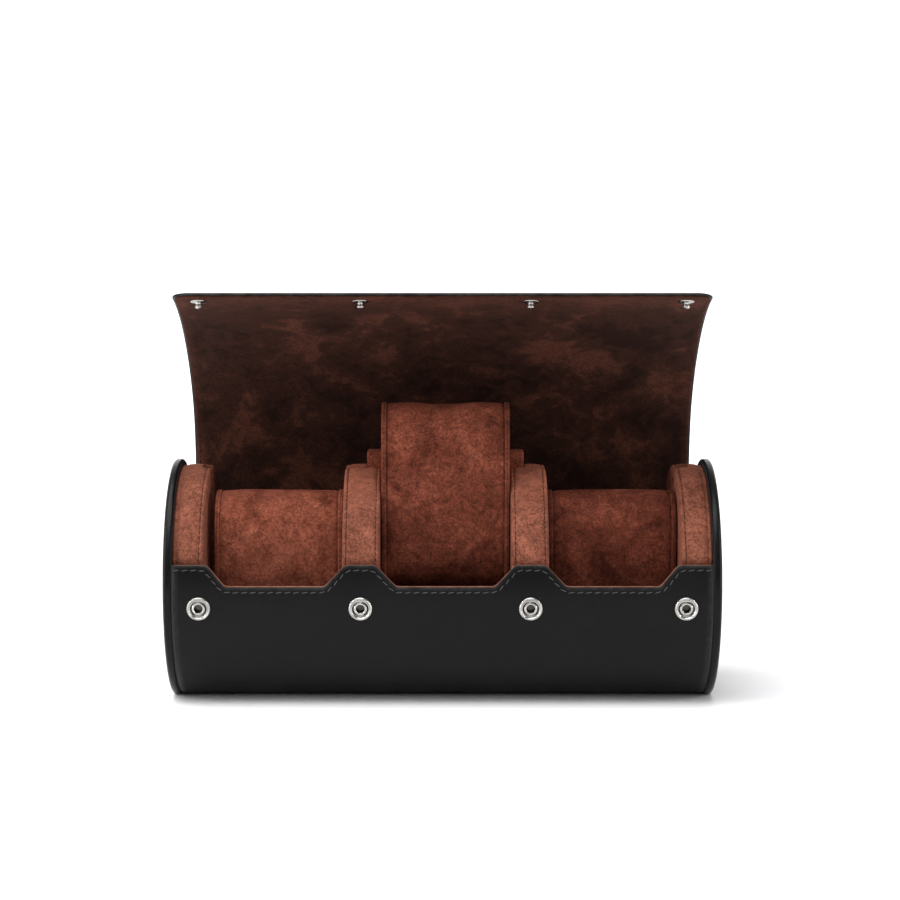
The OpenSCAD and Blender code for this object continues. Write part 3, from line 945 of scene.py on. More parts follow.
def build_pads(looks, sizes):
    """Collars at the ends and dividers between the seats, each with its seams sewn in dark thread."""
    start = math.asin((BAND_Z - AXIS_Z) / BAND_R) + math.radians(1)
    slot_low, slot_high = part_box("cushion_left_wings")
    front_turn = math.acos(-(slot_low.y - SLOT_SPARE) / BAND_R)
    back_turn = math.acos(-(slot_high.y + SLOT_SPARE) / BAND_R)
    for side, kind in (("left", "collar"), ("right", "collar"), ("left", "divider"), ("right", "divider")):
        core = f"{kind}_core_{side}"
        low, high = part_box(core)
        suede = looks["divider_suede" if kind == "divider" else "suede"]
        piece = pad_piece(f"{kind}_pad_{side}", low.x, high.x, suede, wing_slots(suede))
        if kind == "divider":
            # Painted light: the dividers' suede paler towards their tops, as if lit from above
            rise = [(vertex.co.z - AXIS_Z) / BAND_R for vertex in piece.data.vertices]
            store_value(piece, "edge", [min(1.0, max(0.0, (share - TOP_LIGHT_START) / TOP_LIGHT_RISE)) for share in rise])
        rest_places(piece)
        place(piece, "case", "suede", core, f"{kind}_band_{side}")
        seams = {"divider": (low.x, high.x), "collar": (high.x,) if side == "left" else (low.x,)}[kind]
        paths = []
        for edge in seams:
            x = edge + SEAM_IN * MM * (1 if edge == low.x else -1)
            for first, last in ((start, front_turn), (back_turn, math.pi - start)):
                turns = [first + (last - first) * k / 60 for k in range(61)]
                seam_r = BAND_R - PAD_SEAM_DEPTH
                paths.append([(on_roll(x, turn, seam_r), roll_normal(turn)) for turn in turns])
        thread = thread_piece(f"{kind}_stitches_{side}", paths, sizes.seam_stitch, sizes.seam_gap,
                              *FINE_THREAD, looks["dark_thread"])
        place(thread, "case", "suede")


# Snaps: profiles are (radius, height) in mm, from the inside of each piece outwards

SOCKET_PROFILE = ((1.75, -2.6), (2.0, -2.0), (2.15, -1.0), (1.95, -0.35), (1.8, -0.1), (1.82, 0.12), (2.0, 0.26),
                  (2.3, 0.3), (2.55, 0.22), (2.75, 0.02), (2.95, -0.1), (3.3, -0.08), (3.75, 0.08), (4.0, 0.24),
                  (4.1, 0.46), (4.3, 0.58), (4.6, 0.56), (4.85, 0.38), (4.98, 0.12), (5.0, -0.15), (4.9, -0.3),
                  (4.0, -0.3), (2.6, -0.3), (2.55, -2.7), (1.9, -2.75))
STUD_PROFILE = ((0.02, 0.0), (2.9, 0.0), (3.25, 0.08), (3.4, 0.3), (3.3, 0.52), (3.0, 0.64), (2.6, 0.62),
                (2.4, 0.64), (2.0, 0.7), (1.4, 0.95), (1.12, 1.3), (1.1, 1.75), (1.3, 1.95), (1.48, 2.2),
                (1.5, 2.45), (1.4, 2.8), (1.15, 3.08), (0.7, 3.26), (0.02, 3.3))
DOME_PROFILE = ((0.02, 1.2), (1.5, 1.17), (3.0, 1.06), (4.2, 0.9), (4.9, 0.72), (5.2, 0.62), (5.4, 0.6),
                (5.7, 0.58), (5.93, 0.4), (6.0, 0.18), (5.9, 0.03), (5.0, 0.0), (0.02, 0.0))

# The two spring wires in a socket: their distance from its axis, depth, length between points and radius
WIRE_SIDES = 10
SPRING_OUT = 1.69 * MM
SPRING_DEPTH = 1.1 * MM
SPRING_STEP = 0.5 * MM
SPRING_R = 0.12 * MM

# Painted shade in a socket: below HOLE_LOW in its hole, and on the ring between its bead and its rim
HOLE_LOW = -0.5 * MM
HOLE_SHADE = 1.0
RING_IN = 2.6 * MM
RING_OUT = 4.05 * MM
RING_HIGH = 0.2 * MM
RING_SHADE = 0.15


def wire_piece(name, path, radius, material):
    """A round wire along a path."""
    rings = []
    for i, p in enumerate(path):
        along = (path[min(i + 1, len(path) - 1)] - path[max(i - 1, 0)]).normalized()
        across = along.orthogonal().normalized()
        other = along.cross(across)
        turns = [2 * math.pi * k / WIRE_SIDES for k in range(WIRE_SIDES)]
        rings.append([p + (across * math.cos(a) + other * math.sin(a)) * radius for a in turns])
    return tube_piece(name, rings, material)


def build_sockets(looks):
    """Nickel sockets in the front: a raised rim, a dished ring left bare, a bead and two spring wires."""
    xs, angle = snap_places()
    axis = roll_normal(angle)
    side = axis.cross(Vector((1, 0, 0)))
    rims, springs = [], []
    for k, x in enumerate(xs):
        origin = Vector((x, 0, AXIS_Z)) + axis * ROLL_R
        rings = lathe_rings(SOCKET_PROFILE, origin, axis)
        rims.append(tube_piece(f"socket_{k}", rings + [rings[0]], looks["nickel"], sharp=60, capped=False))
        for j, sign in enumerate((-1, 1)):
            middle = origin + side * (sign * SPRING_OUT) - axis * SPRING_DEPTH
            path = [middle + Vector((t * SPRING_STEP, 0, 0)) for t in range(-3, 4)]
            springs.append(wire_piece(f"spring_{k}_{j}", path, SPRING_R, looks["dark_metal"]))
    rims = join(rims, "socket_rims")
    reshape(rims.data, weld)
    # Painted shade: each socket's hole and dished ring darkened
    socket_shade = []
    for v in rims.data.vertices:
        spoke = v.co - Vector((min(xs, key=lambda x: abs(x - v.co.x)), 0, AXIS_Z))
        height = spoke.dot(axis) - ROLL_R
        radius = (spoke - axis * spoke.dot(axis)).length
        ring = RING_IN < radius < RING_OUT and height < RING_HIGH
        socket_shade.append(HOLE_SHADE if height < HOLE_LOW else RING_SHADE if ring else 0.0)
    store_value(rims, "edge", socket_shade)
    place(rims, "case", "snap_metal", "snap_sockets")
    place(join(springs, "socket_springs"), "case", "snap_metal")


def weld(build):
    """Merges points that lie on each other."""
    bmesh.ops.remove_doubles(build, verts=build.verts, dist=0.001 * MM)


def build_studs(looks):
    """Nickel studs on the flap's lining, and domed caps on its outside."""
    xs, _ = snap_places()
    flap = flap_stations()
    spot, normal = flap_at(flap, flap[-1][0] - SNAP_TO_TIP)
    inner = Vector((0, spot.x, spot.y))
    axis = Vector((0, normal.x, normal.y))
    for name, profile, start, way in (("snap_stud_heads", STUD_PROFILE, 0.0, -1),
                                      ("snap_cap_domes", DOME_PROFILE, FLAP_T, 1)):
        origins = [inner + axis * start + Vector((x, 0, 0)) for x in xs]
        piece = lathe_piece(name, profile, origins, axis * way, looks["nickel"], sharp=50)
        place(piece, "flap_tip_panel", "snap_metal", "snap_studs" if way < 0 else "snap_caps")


# Flap

# The segments are numbered from 1 at the hinge to this one
TIP = 8

# Rounds in which the tip panel's lean is found from its box
LEAN_ROUNDS = 6


def flap_corners():
    """The flap's inner face at rest as a chain of straight panels: corners in (y, z) from hinge to tip."""
    corners = [Vector((FLAP_Y, JOINTS["flap_hinge"]["pos_m"][2]))]
    for name in [f"flap_fold_{i}" for i in range(2, TIP)] + ["flap_tip"]:
        corners.append(Vector(JOINTS[name]["pos_m"][1:]))
    low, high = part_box(f"flap_lining_{TIP}")
    across, up = corners[-1].x - low.y, high.z - corners[-1].y
    lean = math.atan2(across, up)
    for _ in range(LEAN_ROUNDS):
        lean = math.atan2(across, up - FLAP_LINING_T * math.sin(lean))
    reach = across / math.sin(lean)
    corners.append(corners[-1] + Vector((-math.sin(lean), math.cos(lean))) * reach)
    return corners


# Half a panel's height, the straight at each end of a bend, the bend's steps, and what counts as nothing
PANEL_HALF = (JOINTS["flap_fold_3"]["pos_m"][2] - JOINTS["flap_fold_2"]["pos_m"][2]) / 2
STRAIGHT = 0.3 * MM
BEND_STEPS = 24
NO_BEND = 1e-4
SAME_SPOT = 1e-7


def flap_stations():
    """The flap's inner face as a smooth line: (length along it, point, outward normal, segment)."""
    corners = flap_corners()
    stations = []

    def add(point, direction, segment):
        """Adds a station, unless the segment has one at that point."""
        length = 0.0
        if stations:
            length = stations[-1][0] + (point - stations[-1][1]).length
            if (point - stations[-1][1]).length < SAME_SPOT and segment == stations[-1][3]:
                return
        stations.append((length, point, Vector((direction.y, -direction.x)), segment))

    def straight(a, b, direction, segment):
        """Adds stations about a millimetre apart from a to b."""
        count = max(1, round((b - a).length / MM))
        for k in range(count + 1):
            add(a.lerp(b, k / count), direction, segment)

    up = Vector((0, 1))
    first = (corners[1] - corners[0]).normalized()
    straight(Vector((FLAP_Y, AXIS_Z)), corners[0] + first * PANEL_HALF, up, 1)
    for i in range(2, TIP + 1):
        corner = corners[i - 1]
        into = (corner - corners[i - 2]).normalized()
        out = (corners[i] - corner).normalized()
        turn = math.atan2(into.x * out.y - into.y * out.x, into.dot(out))
        reach = PANEL_HALF - STRAIGHT
        start, end = corner - into * reach, corner + out * reach
        add(corner - into * PANEL_HALF, into, i)
        if abs(turn) < NO_BEND:
            straight(start, end, into, i)
        else:
            radius = reach / math.tan(abs(turn) / 2)
            side = Vector((-into.y, into.x)) * (1 if turn > 0 else -1)
            centre = start + side * radius
            for k in range(BEND_STEPS + 1):
                part = turn * k / BEND_STEPS
                spoke = start - centre
                cos, sin = math.cos(part), math.sin(part)
                point = centre + Vector((spoke.x * cos - spoke.y * sin, spoke.x * sin + spoke.y * cos))
                heading = Vector((into.x * cos - into.y * sin, into.x * sin + into.y * cos))
                add(point, heading, i)
        add(corner + out * PANEL_HALF, out, i)
    straight(stations[-1][1].copy(), corners[-1], (corners[-1] - corners[-2]).normalized(), TIP)
    return stations


def flap_at(stations, length):
    """Point and outward normal on the flap's inner face at a length along it."""
    marks = [s[0] for s in stations]
    i = min(len(marks) - 2, max(0, int(np.searchsorted(marks, length)) - 1))
    while marks[i + 1] - marks[i] < 1e-9 and i + 2 < len(marks):
        i += 1
    share = (length - marks[i]) / max(1e-9, marks[i + 1] - marks[i])
    return (stations[i][1].lerp(stations[i + 1][1], share),
            stations[i][2].lerp(stations[i + 1][2], share).normalized())


# The tip's corner radius, and how far the snaps are from the tip
TIP_ROUND = 8 * MM
SNAP_TO_TIP = 9 * MM
FLAP_COLUMNS = 60

# How the flap's long edges are rounded, and how far in they are rubbed
SIDE_ROUND = 0.25 * MM
SIDE_DROP = 0.06 * MM
SIDE_SHARE = 0.75
SIDE_RUB = 1.2 * MM

# Painted light from the floor on the suede near the tip: how far from the tip it reaches, and how strong it is
# at most
TIP_LIGHT_REACH = 34 * MM
TIP_LIGHT_MOST = 1.2


def flap_sheet(name, stations, segment, low, high, inset, material, wave):
    """One layer of a segment of the flap: a closed sheet with rounded edges.

    It goes from low to high above the flap's inner face, and wave is how deep the suede's face waves.
    """
    total = stations[-1][0] - inset
    part = [s for s in stations if s[3] == segment]
    lengths = [s[0] for s in part if s[0] < total - TIP_ROUND or segment < TIP]
    corner = TIP_ROUND - inset
    if segment == TIP:
        lengths = [s for s in lengths if s < total - corner - 0.2 * MM]
        lengths += [total - corner + corner * math.sin(math.radians(a)) for a in range(0, 84, 6)]
        lengths += [total - 0.22 * MM, total - 0.06 * MM, total]
    half_t = (high - low) / 2
    middle = (high + low) / 2
    rings, places = [], []
    for s in lengths:
        spot, normal = flap_at(stations, s)
        if segment < TIP and s in (lengths[0], lengths[-1]):
            normal = part[0][2] if s == lengths[0] else part[-1][2]
        half = FLAP_HALF - inset
        thick = 1.0
        if segment == TIP:
            over = max(0.0, s - (total - corner))
            half -= corner - math.sqrt(max(0.0, corner ** 2 - over ** 2))
            thick = 0.35 if s > total - 0.01 * MM else 0.8 if s > total - 0.1 * MM else 1.0
        flat = 2 * half - 2 * SIDE_ROUND
        xs = [-half + SIDE_ROUND + flat * k / FLAP_COLUMNS for k in range(FLAP_COLUMNS + 1)]
        turn = half - SIDE_DROP
        ring = [(x, -1) for x in xs] + [(turn, -SIDE_SHARE), (half, 0), (turn, SIDE_SHARE)]
        ring += [(x, 1) for x in xs[::-1]] + [(-turn, SIDE_SHARE), (-half, 0), (-turn, -SIDE_SHARE)]
        points = []
        for x, level in ring:
            lift = middle + half_t * level * thick
            if wave:
                lift -= wave * (1 - level) / 2 * (0.5 + noise.noise(Vector((x * 30, s * 38, 1.7))))
            points.append(Vector((x, spot.x + normal.x * lift, spot.y + normal.y * lift)))
            places.append((x, s, lift))
        rings.append(points)
    piece = slab_piece(name, rings, material, sharp=60)
    store_vector(piece, "surface", places)
    masks = []
    for x, s, _ in places:
        side = max(0.0, 1 - (FLAP_HALF - inset - abs(x)) / SIDE_RUB)
        tip = max(0.0, 1 - (total - s) / SIDE_RUB)
        # Painted light: the suede lighter towards the tip
        band = min(1.0, TIP_LIGHT_MOST * max(0.0, 1 - (total - s) / TIP_LIGHT_REACH) ** 1.5) if wave else 0.0
        masks.append(max(side, tip, band))
    store_value(piece, "edge", masks)
    return piece


def flap_thread(stations, segment, lift, way, sizes):
    """Paths of the flap's stitches in one segment, lifted off its inner face, on the side that way gives."""
    def sample(x, s):
        """A point of the seam and its normal, at a length along the flap."""
        spot, normal = flap_at(stations, s)
        return (Vector((x, spot.x + normal.x * lift, spot.y + normal.y * lift)),
                Vector((0, normal.x * way, normal.y * way)))

    part = [s[0] for s in stations if s[3] == segment]
    side = FLAP_HALF - sizes.flap_seam
    spare = 0.5 * sizes.seam_gap
    if segment < TIP:
        span = np.linspace(part[0] + spare, part[-1] - spare, 30)
        return [[sample(x, s) for s in span] for x in (-side, side)]
    corner = TIP_ROUND - sizes.flap_seam
    end = stations[-1][0] - sizes.flap_seam
    path = [(-side, s) for s in np.linspace(part[0] + spare, end - corner, 30)]
    for a in range(10, 91, 10):
        a = math.radians(a)
        path.append((-side + corner * (1 - math.cos(a)), end - corner + corner * math.sin(a)))
    path += [(x, end) for x in np.linspace(-side + corner + 1 * MM, 0, 60)]
    path += [(-x, s) for x, s in path[-2::-1]]
    return [[sample(x, s) for x, s in path]]


# The suede ends this far inside the leather's edge and waves this much
LINING_INSET = 0.9 * MM
LINING_WAVE = 0.22 * MM

# How far the bend reaches to either side of the hinge, and how the threads lie on the two faces
HINGE_REACH = 4.5 * MM
SUEDE_SEAM_LIFT = -0.12 * MM
LEATHER_SEAM_LIFT = 0.02 * MM


def build_flap(looks, sizes):
    """The flap: leather outside and suede inside, sewn along its edge.

    Each segment lies between the middles of two panels.
    """
    stations = flap_stations()
    marks = [[s for s in stations if s[3] == i] for i in range(1, TIP + 1)]
    hinge = JOINTS["flap_hinge"]["pos_m"][2]
    for i, part in enumerate(marks, start=1):
        ends = [Vector((0, p.x, p.y)) for p in (part[0][1], part[-1][1])]
        if i == 1:
            ends = [Vector((0, FLAP_Y, hinge - HINGE_REACH)), Vector((0, FLAP_Y, hinge + HINGE_REACH))]
        if i == TIP:
            corner = flap_corners()[-2]
            along = (flap_corners()[-1] - corner).normalized()
            tip = corner + along * PANEL_HALF
            ends[1] = Vector((0, tip.x, tip.y))
        nodes = [i] if i > 1 else [0, 1]
        leather = flap_sheet(f"flap_skin_{i}", stations, i, FLAP_LINING_T, FLAP_T, 0.0, looks["leather"], 0)
        lining = flap_sheet(f"flap_suede_{i}", stations, i, 0.0, FLAP_LINING_T, LINING_INSET,
                            looks["flap_suede"], LINING_WAVE)
        inner = flap_thread(stations, i, SUEDE_SEAM_LIFT, -1, sizes)
        outer = flap_thread(stations, i, FLAP_T + LEATHER_SEAM_LIFT, 1, sizes)
        thread = thread_piece(f"flap_stitches_{i}", inner + outer, sizes.seam_stitch, sizes.seam_gap,
                              *FINE_THREAD, looks["dark_thread"])
        for piece, slot, kind in ((leather, "black_leather", "leather"), (lining, "flap_suede", "lining"),
                                  (thread, "black_leather", None)):
            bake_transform(piece)
            if kind:
                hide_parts(*[f"flap_{kind}_{n}" for n in nodes])


# Cushions

def oval_ring(x, radius, middle, reach, count=72):
    """A ring round a cushion at x: two half rounds joined by straight fronts, with points at equal steps."""
    straight = 2 * reach
    arc = math.pi * radius
    total = 2 * (straight + arc)
    ring = []
    for k in range(count):
        s = total * k / count
        if s < straight:
            y, z = -radius, -reach + s
        elif s < straight + arc:
            a = (s - straight) / radius
            y, z = -radius * math.cos(a), reach + radius * math.sin(a)
        elif s < 2 * straight + arc:
            y, z = radius, reach - (s - straight - arc)
        else:
            a = (s - 2 * straight - arc) / radius
            y, z = radius * math.cos(a), -reach - radius * math.sin(a)
        ring.append(Vector((x, middle.y + y, middle.z + z)))
    return ring


def spine_distance(point, middle, reach):
    """Distance from a cushion's spine, and the direction away from it."""
    near = Vector((point.x, middle.y, min(max(point.z, middle.z - reach), middle.z + reach)))
    away = point - near
    return away.length, away.normalized()


# The cloth simulation: the scale it runs at, its frames, and its voxels in metres at the real size
SIM_SCALE = 10.0
SIM_FRAMES = 20
SIM_VOXEL = 0.0028

# The cloth is held this far in from its ends
HELD_ENDS = 1.4 * MM


def inflate(piece, half, middle):
    """Fills the cushion with air as cloth held at its two ends, at a larger scale that suits the solver."""
    piece.data.transform(Matrix.Scale(SIM_SCALE, 4) @ Matrix.Translation(-middle))
    shape = piece.modifiers.new("even mesh", "REMESH")
    shape.mode = "VOXEL"
    shape.voxel_size = SIM_VOXEL * SIM_SCALE
    apply_modifiers(piece)
    held = piece.vertex_groups.new(name="held")
    ends = [v.index for v in piece.data.vertices if abs(v.co.x) > (half - HELD_ENDS) * SIM_SCALE]
    held.add(ends, 1.0, "REPLACE")
    cloth = piece.modifiers.new("cloth", "CLOTH")
    cloth.settings.quality = 6
    cloth.settings.use_pressure = True
    cloth.settings.uniform_pressure_force = 4
    cloth.settings.tension_stiffness = 12
    cloth.settings.compression_stiffness = 6
    cloth.settings.bending_stiffness = 0.4
    cloth.settings.effector_weights.gravity = 0
    cloth.settings.vertex_group_mass = "held"
    cloth.point_cache.frame_start = 1
    cloth.point_cache.frame_end = SIM_FRAMES
    for frame_number in range(1, SIM_FRAMES + 1):
        bpy.context.scene.frame_set(frame_number)
    apply_modifiers(piece)
    bpy.context.scene.frame_set(1)
    piece.data.transform(Matrix.Translation(middle) @ Matrix.Scale(1 / SIM_SCALE, 4))


# The padding before it is filled: how much slimmer than its solid, and its crown
PAD_SLIM = 0.95 * MM
PAD_CROWN = 0.45 * MM
PAD_RINGS = 13

# The padding's face: its crown's fall, the cloth's own play, and two sizes of lumps as (depth, lumps a metre)
CROWN_SPARE = 0.05 * MM
CROWN_FALL = 0.6 * MM
CROWN_EDGE = 0.5 * MM
CLOTH_PLAY = 0.45 * MM
LUMPS = (0.22 * MM, 45)
FINE_LUMPS = (0.08 * MM, 160)

# Half the width of the middle cushion's dip
WAIST_REACH = 11 * MM


def build_padding(name, looks, sizes):
    """A cushion's padding: cloth filled out between its two stitched plates, with soft uneven spots."""
    low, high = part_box(f"cushion_{name}")
    middle = (low + high) / 2
    most = (high.y - low.y) / 2
    reach = (high.z - low.z) / 2 - most
    half = (high.x - low.x) / 2
    rings = []
    for k in range(PAD_RINGS):
        u = 2 * k / (PAD_RINGS - 1) - 1
        radius = most - PAD_SLIM + PAD_CROWN * (1 - u * u)
        rings.append(oval_ring(middle.x + u * half, radius, middle, reach))
    piece = tube_piece(f"cushion_padding_{name}", rings, looks[f"cushion_{name}"])
    inflate(piece, half, middle)
    smooth = piece.modifiers.new("smooth", "SUBSURF")
    smooth.levels = 1
    apply_modifiers(piece)
    waist = sizes.waist if name == "middle" else 0.0
    seed = 3.1 * CUSHIONS.index(name)
    for vertex in piece.data.vertices:
        distance, away = spine_distance(vertex.co, middle, reach)
        u = (vertex.co.x - middle.x) / half
        if distance < most - 4 * MM or abs(u) > 0.999:
            continue
        near_end = max(0.0, (abs(u) - 0.94) / 0.06)
        crown = most - CROWN_SPARE - CROWN_FALL * abs(u) ** 3 - CROWN_EDGE * near_end ** 2
        depth, rate = LUMPS
        lumps = depth * (0.5 + noise.noise(vertex.co * rate + Vector((seed, 0, 0))))
        depth, rate = FINE_LUMPS
        lumps += depth * (0.5 + noise.noise(vertex.co * rate + Vector((0, seed, 0))))
        target = max(min(distance, crown), crown - CLOTH_PLAY) - lumps
        if waist:
            target -= waist * math.exp(-(((vertex.co.x - middle.x) / WAIST_REACH) ** 4))
        vertex.co += away * (target - distance)
    piece.data.update()
    piece.data.shade_smooth()
    rest_places(piece)
    if not piece.data.materials:
        piece.data.materials.append(looks[f"cushion_{name}"])
    return piece


# Across a plate from the padding outwards: (height above the plate's edge, distance out) in mm
PLATE_PROFILE = ((-0.9, 0.0), (-0.3, 0.02), (-0.08, 0.2), (0.0, 0.5), (0.0, 1.5), (-0.1, 1.85), (-0.35, 2.08),
                 (-0.8, 2.18), (-3.0, 2.2), (-9.0, 2.2))
PLATE_T = 2.2 * MM

# The plates' seam: how far out it runs, its stitch and gap, and its thread's half width and height
PLATE_SEAM = 1.0 * MM
PLATE_STITCH = (1.3 * MM, 0.8 * MM)
PLATE_THREAD = (0.15 * MM, 0.1 * MM)


def build_plates(name, looks):
    """The stitched plates at a cushion's two ends, and their thread."""
    low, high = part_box(f"cushion_{name}_boards")
    middle = (low + high) / 2
    radius = (high.y - low.y) / 2
    reach = (high.z - low.z) / 2 - radius
    plates, paths = [], []
    for sign in (-1, 1):
        inner = (high.x - low.x) / 2 - PLATE_T
        rings = [oval_ring(middle.x + sign * (inner + x * MM), radius + r * MM, middle, reach, 96)
                 for r, x in PLATE_PROFILE]
        plates.append(tube_piece(f"plate_{name}_{sign}", rings, looks[f"cushion_{name}"], sharp=60))
        ring = oval_ring(middle.x + sign * (inner + PLATE_SEAM), radius, middle, reach, 144)
        ring.append(ring[0])
        paths.append([(p, spine_distance(p, middle, reach)[1]) for p in ring])
    plates = join(plates, f"cushion_plates_{name}")
    rest_places(plates)
    thread = thread_piece(f"cushion_stitches_{name}", paths, *PLATE_STITCH, *PLATE_THREAD,
                          looks["dark_thread"])
    return plates, thread


# A wing from its free end to the plate: (share of its length, how much slimmer in mm)
WING_PROFILE = ((0.0, 0.9), (0.03, 0.35), (0.1, 0.1), (0.2, 0.0), (1.0, 0.0))
WING_ROUND = 1.6 * MM


def build_wings(name, looks):
    """The wings that guide a cushion in its slots, with softly rounded edges."""
    low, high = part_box(f"cushion_{name}_wings")
    board_low, board_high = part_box(f"cushion_{name}_boards")
    wings = []
    for side, x0, x1 in (("left", low.x, board_low.x), ("right", board_high.x, high.x)):
        rings = []
        y, z = (low.y + high.y) / 2, (low.z + high.z) / 2
        half_y, half_z = (high.y - low.y) / 2, (high.z - low.z) / 2
        for share, inset in WING_PROFILE:
            near = share if side == "left" else 1 - share
            x = x0 + (x1 - x0) * near
            rings.append(rounded_ring(x, y, z, half_y - inset * MM, half_z - inset * MM, WING_ROUND))
        wings.append(tube_piece(f"wing_{name}_{side}", rings, looks[f"cushion_{name}"], sharp=60))
    wings = join(wings, f"cushion_guides_{name}")
    rest_places(wings)
    return wings


def rounded_ring(x, y, z, half_y, half_z, radius):
    """A rounded rectangle in the YZ plane."""
    ring = []
    for sy, sz, start in ((1, 1, 0), (-1, 1, 90), (-1, -1, 180), (1, -1, 270)):
        for k in range(6):
            a = math.radians(start + 90 * k / 5)
            ring.append(Vector((x, y + sy * (half_y - radius) + radius * math.cos(a),
                                z + sz * (half_z - radius) + radius * math.sin(a))))
    return ring


def build_cushions(looks, sizes):
    """Three cushions: filled padding, stitched plates and the wings that guide them."""
    for name in CUSHIONS:
        body = f"cushion_{name}"
        padding = build_padding(name, looks, sizes)
        place(padding, body, "suede", body)
        plates, thread = build_plates(name, looks)
        place(plates, body, "suede", f"{body}_boards")
        place(thread, body, "suede")
        place(build_wings(name, looks), body, "suede", f"{body}_wings")


# Stage

# The camera: its place in metres, its tilt in degrees, its lens and sensor in mm and its sideways shift
CAMERA_BACK = 1.0494
CAMERA_UP = 0.2004
CAMERA_TILT = 5.15
LENS = 96.18
SENSOR = 36
SHIFT = 0.0084

# The sweep, in metres: half its width, how far it comes forward, where it starts to rise, its radius and height
SWEEP_HALF = 4
SWEEP_FRONT = -4
SWEEP_BEND = 1.6
SWEEP_R = 1.2
SWEEP_HIGH = 4.0

# Strength of the world's light, and how much more of it the camera sees behind the sweep
WORLD_LIGHT = 0.26
WORLD_SEEN = 0.79

# Each light: name, place, aim, width, height, power in watts
STUDIO_LIGHTS = (
    ("top_softbox", (-0.25, -0.3, 1.35), (0.0, -0.05, 0.05), 1.5, 1.2, 30),
    ("left_key", (-1.0, -1.0, 0.95), (0.0, 0.0, 0.08), 1.0, 1.0, 3.2),
    ("left_strip", (-0.9, -0.35, 0.3), (-0.1, 0.0, 0.06), 0.05, 0.8, 6.0),
    ("right_strip", (0.9, -0.35, 0.3), (0.1, 0.0, 0.06), 0.05, 0.8, 4.2),
    ("backdrop_light", (0.0, 0.9, 1.5), (0.0, 2.6, 0.8), 3.0, 0.8, 60),
)


def build_stage(looks):
    """Pale sweep, soft studio lights and the camera at the photograph's angle."""
    rings = []
    for x in np.linspace(-SWEEP_HALF, SWEEP_HALF, 9):
        ring = [(x, SWEEP_FRONT, 0), (x, SWEEP_BEND, 0)]
        ring += [(x, SWEEP_BEND + SWEEP_R * math.sin(a), SWEEP_R * (1 - math.cos(a)))
                 for a in np.linspace(0.1, math.pi / 2, 16)]
        ring += [(x, SWEEP_BEND + SWEEP_R, SWEEP_HIGH)]
        rings.append(ring)
    points = [p for ring in rings for p in ring]
    floor = add_piece("studio_sweep", points, grid_faces(len(rings), len(rings[0])), looks["floor"])
    world = bpy.data.worlds.new("Studio")
    world.use_nodes = True
    shade = world.node_tree.nodes["Background"]
    shade.inputs["Color"].default_value = (1.0, 1.0, 1.0, 1)
    sight = world.node_tree.nodes.new("ShaderNodeLightPath").outputs["Is Camera Ray"]
    strength = math_node(world.node_tree, "MULTIPLY", sight, WORLD_SEEN)
    strength = math_node(world.node_tree, "ADD", strength, WORLD_LIGHT)
    set_input(world.node_tree, shade.inputs["Strength"], strength)
    bpy.context.scene.world = world
    bpy.context.scene.view_settings.view_transform = "Standard"
    for name, place_at, aim, width, height, power in STUDIO_LIGHTS:
        light = bpy.data.lights.new(name, "AREA")
        light.shape = "RECTANGLE"
        light.size = width
        light.size_y = height
        light.energy = power
        lamp = bpy.data.objects.new(name, light)
        lamp.location = place_at
        lamp.rotation_euler = (Vector(aim) - Vector(place_at)).to_track_quat("-Z", "Y").to_euler()
        bpy.context.scene.collection.objects.link(lamp)
    lens = bpy.data.cameras.new("camera")
    lens.lens = LENS
    lens.sensor_width = SENSOR
    lens.shift_x = SHIFT
    lens.clip_start = 0.01
    camera = bpy.data.objects.new("camera", lens)
    camera.location = (0, -CAMERA_BACK, CAMERA_UP)
    camera.rotation_euler = (math.radians(90 - CAMERA_TILT), 0, 0)
    bpy.context.scene.collection.objects.link(camera)
    bpy.context.scene.camera = camera


def floor_material():
    """Pale matt paper of the studio sweep."""
    material, tree, shader = new_material("Pale sweep")
    vector = object_vector(tree)
    fibres = cloud(tree, vector, 0.004, 3.0)
    colour = mix_colours(tree, spread(tree, fibres, 0.3, 0.7), (0.90, 0.90, 0.91), (0.92, 0.92, 0.93))
    tree.links.new(colour, shader.inputs["Base Color"])
    shader.inputs["Roughness"].default_value = 0.9
    shader.inputs["Specular IOR Level"].default_value = 0.1
    return material


# Finishes

FINISHES = {}

# Painted shade: how light each cushion's suede is painted, darker towards the right, as if lit from the left
# with the middle cushion shading the right one
PAINTED_CUSHION_LIGHT = {"left": 1.0, "middle": 0.62, "right": 0.48}

# The painted shade is redder too: the powers that red, green and blue fall off with
SHADE_REDDER = (1.0, 1.22, 1.3)


